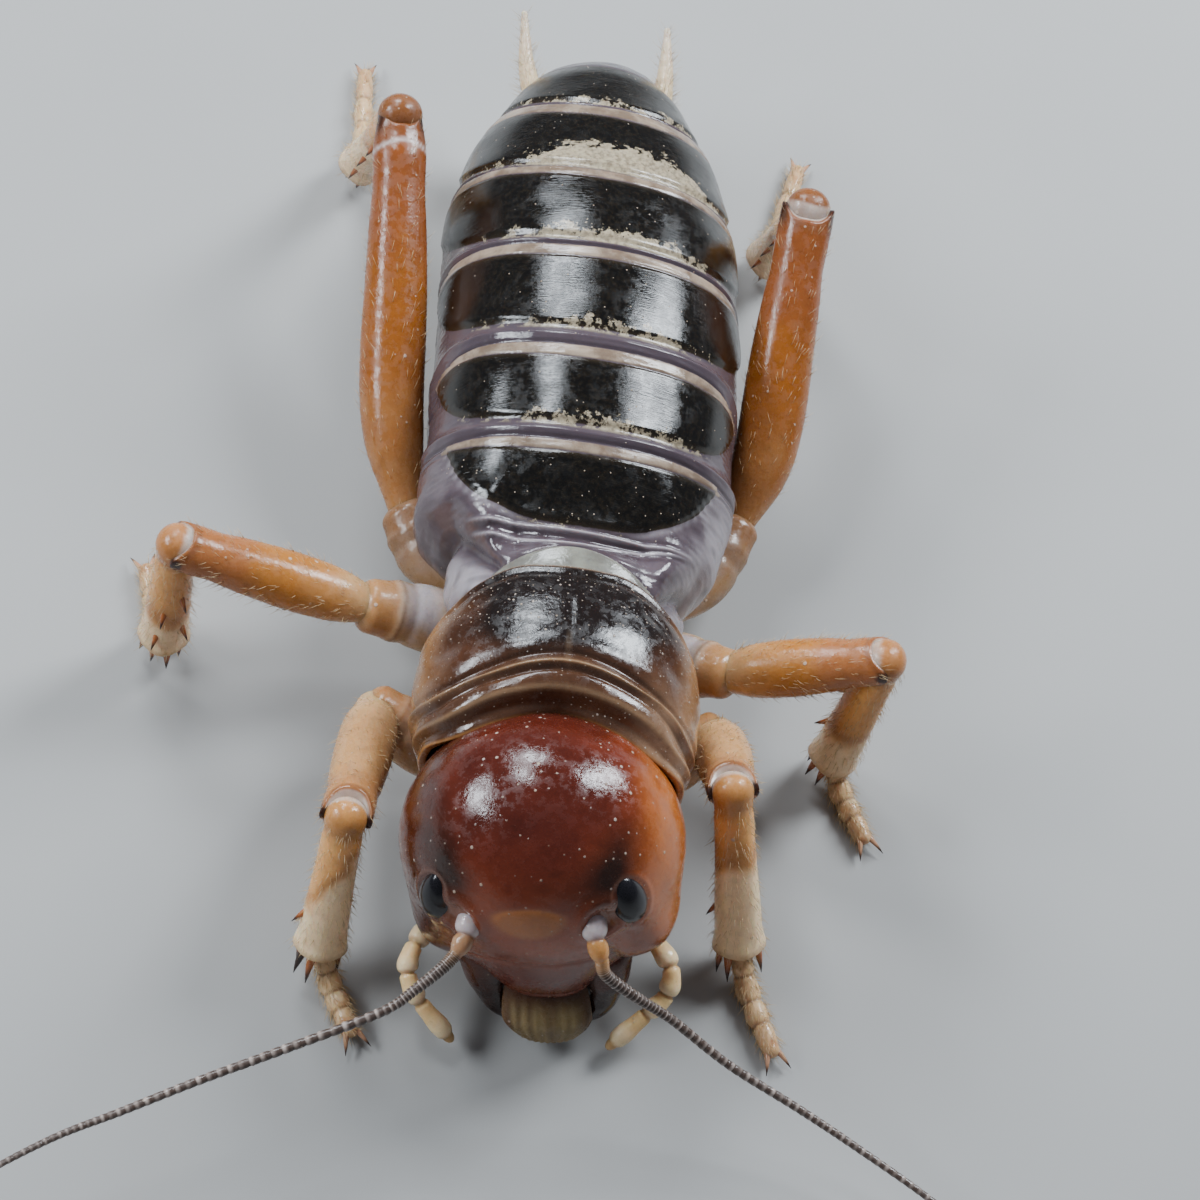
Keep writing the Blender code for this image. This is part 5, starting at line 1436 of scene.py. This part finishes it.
class CRICKET_OT_feelers(bpy.types.Operator):
    """Both feelers: swollen base and ringed lash"""

    bl_idname = "cricket.feelers"
    bl_label = "Feelers"

    def execute(self, context):
        base = painted_finish("feeler_base", 0.2, coat=0.5, subsurface=0.3, mottle=0.3, mottle_scale=2.5)
        lash = painted_finish("feeler_lash", 0.32, coat=0.3, mottle=0.25, mottle_scale=3.0)
        for side in SIDES:
            scape, flagellum = limb_shell(scape_form(side)), limb_shell(flagellum_form(side))
            put_piece("feeler_base_" + side, scape, base, ("antenna_base_" + side,))
            nodes = ("flagellum_inner_" + side, "flagellum_outer_" + side)
            put_piece("feeler_lash_" + side, flagellum, lash, nodes)
        return {"FINISHED"}


class CRICKET_OT_legs(bpy.types.Operator):
    """Six legs, each one skin from coxa to toe, with spurs, claws and fine hairs"""

    bl_idname = "cricket.legs"
    bl_label = "Legs"

    def execute(self, context):
        c, size = colours(), sizes()
        skin = painted_finish(
            "leg_skin", 0.28, coat=0.15, subsurface=0.35, mottle=0.3, mottle_scale=1.8, pore_scale=7.0
        )
        horn = painted_finish("spur_horn", 0.25, coat=0.4, mottle=0.2)
        hair = hair_finish("leg_hair", (0.5, 0.3, 0.12), (0.75, 0.58, 0.34), subsurface=0.1)
        for k, name in enumerate(LEGS):
            leg = Leg(name)
            forms = [leg.coxa(c), leg.femur(c), leg.tibia(c), leg.tarsus(c)]
            nodes = [f"{name}_{part}" for part in ("coxa", "femur", "tibia", "tarsus")]
            put_piece(name + "_leg", joined([limb_shell(form) for form in forms]), skin, nodes)
            put_piece(name + "_spurs", joined(leg.spurs(c)), horn)
            hairs, patch = bristle_shell(forms[1:], HAIR_SHARES, size["bristles"], size["bristle"],
                                         size["bristle_thick"], size["seed"] + k)
            put_piece(name + "_hairs", hairs, hair, patch=patch)
        return {"FINISHED"}


class CRICKET_OT_cerci(bpy.types.Operator):
    """The two soft spikes at the tail, with long fine hairs"""

    bl_idname = "cricket.cerci"
    bl_label = "Cerci"

    def execute(self, context):
        first_seed = sizes()["seed"] + 40
        cream = painted_finish("cercus_cream", 0.4, coat=0.1, subsurface=0.3, mottle=0.2, mottle_scale=2.0)
        hair = hair_finish("cercus_hair", (0.4, 0.28, 0.16), (0.7, 0.58, 0.4))
        for k, side in enumerate(SIDES):
            form = cercus_form(side)
            put_piece("tail_spike_" + side, limb_shell(form), cream, ("cercus_" + side,))
            hairs, patch = bristle_shell([form], (1.0,), seed=first_seed + k, **CERCUS_HAIRS)
            put_piece("tail_hairs_" + side, hairs, hair, patch=patch)
        return {"FINISHED"}


def set_facing(obj, right, up, back, place):
    """Links a light or a camera at a place in the body's millimetres, turned to three directions."""
    spot = (place + SHIFT) * MM
    rows = [[right[i], up[i], back[i], spot[i]] for i in range(3)]
    obj.matrix_world = Matrix([*rows, (0, 0, 0, 1)])
    bpy.context.scene.collection.objects.link(obj)


def area_light(name, direction, width, height, power):
    """A soft oval light that stands LIGHT_DISTANCE away in a direction and faces LIGHT_AIM."""
    light = bpy.data.lights.new(name, "AREA")
    light.shape = "ELLIPSE"
    light.size, light.size_y = width * MM, height * MM
    light.energy = power
    light.color = LIGHT_COLOUR
    helper = np.array([0, 1.0, 0]) if abs(direction[1]) < 0.95 else np.array([1.0, 0, 0])
    across = unit(np.cross(helper, direction))
    place = LIGHT_AIM + direction * LIGHT_DISTANCE
    set_facing(bpy.data.objects.new(name, light), across, np.cross(direction, across), direction, place)


def camera_axes():
    """Right, up and back of the photograph's camera, by its azimuth, elevation and roll."""
    azimuth, elevation, roll = np.radians(CAMERA_TURNS)
    flat = math.cos(elevation)
    back = np.array([math.sin(azimuth) * flat, -math.cos(azimuth) * flat, math.sin(elevation)])
    right = unit(np.cross(-back, UP))
    up = np.cross(right, -back)
    c, s = math.cos(roll), math.sin(roll)
    return right * c + up * s, up * c - right * s, back


class CRICKET_OT_stage(bpy.types.Operator):
    """Pale floor, soft lights and the camera at the photograph's place"""

    bl_idname = "cricket.stage"
    bl_label = "Stage"

    def execute(self, context):
        mesh = bpy.data.meshes.new("stage_floor")
        corners = [(x * FLOOR_REACH, y * FLOOR_REACH, 0) for x, y in ((-1, -1), (1, -1), (1, 1), (-1, 1))]
        mesh.from_pydata(corners, [], [(0, 1, 2, 3)])
        f = Finish("stage_floor", 0.7)
        mesh.materials.append(f.done(f.mix(f.noise(0.05), (0.35, 0.345, 0.335), (0.39, 0.385, 0.375))))
        floor = bpy.data.objects.new("stage_floor", mesh)
        floor.location.z = -FLOOR_DROP
        context.scene.collection.objects.link(floor)

        world = bpy.data.worlds.new("stage_world")
        world.use_nodes = True
        sky = world.node_tree.nodes["Background"].inputs
        sky[0].default_value = (0.75, 0.8, 0.9, 1.0)
        sky[1].default_value = 0.2
        context.scene.world = world

        axes = camera_axes()
        for name, (ways, width, height, power) in LIGHTS.items():
            area_light(name, unit(sum(axis * way for axis, way in zip(axes, ways))), width, height, power)

        camera = bpy.data.cameras.new("camera")
        camera.sensor_width = SENSOR_MM
        camera.lens = SENSOR_MM / 2 / math.tan(math.radians(CAMERA_HALF_ANGLE))
        camera.clip_start, camera.clip_end = 0.001, 10.0
        obj = bpy.data.objects.new("camera", camera)
        set_facing(obj, *axes, CAMERA_TARGET + axes[2] * CAMERA_DISTANCE)
        context.scene.camera = obj
        return {"FINISHED"}


class CRICKET_PT_panel(bpy.types.Panel):
    """Lists the model's pieces, sizes and colours"""

    bl_label = "Jerusalem cricket"
    bl_idname = "CRICKET_PT_panel"
    bl_space_type = "VIEW_3D"
    bl_region_type = "UI"
    bl_category = "Cricket"

    def draw(self, context):
        for operator in OPERATORS:
            self.layout.operator(operator.bl_idname)
        for group in (context.scene.cricket_sizes, context.scene.cricket_colours):
            box = self.layout.box()
            for name in group.__annotations__:
                box.prop(group, name)


OPERATORS = (
    CRICKET_OT_trunk,
    CRICKET_OT_pronotum,
    CRICKET_OT_head,
    CRICKET_OT_mouthparts,
    CRICKET_OT_feelers,
    CRICKET_OT_legs,
    CRICKET_OT_cerci,
    CRICKET_OT_stage,
)
CLASSES = (CricketColours, CricketSizes, *OPERATORS, CRICKET_PT_panel)


def register():
    for cls in CLASSES:
        bpy.utils.register_class(cls)
    bpy.types.Scene.cricket_colours = PointerProperty(type=CricketColours)
    bpy.types.Scene.cricket_sizes = PointerProperty(type=CricketSizes)


def unregister():
    del bpy.types.Scene.cricket_sizes
    del bpy.types.Scene.cricket_colours
    for cls in reversed(CLASSES):
        bpy.utils.unregister_class(cls)


def main():
    register()
    bpy.ops.cricket.trunk()
    bpy.ops.cricket.pronotum()
    bpy.ops.cricket.head()
    bpy.ops.cricket.mouthparts()
    bpy.ops.cricket.feelers()
    bpy.ops.cricket.legs()
    bpy.ops.cricket.cerci()
    bpy.ops.cricket.stage()


if __name__ == "__main__":
    main()
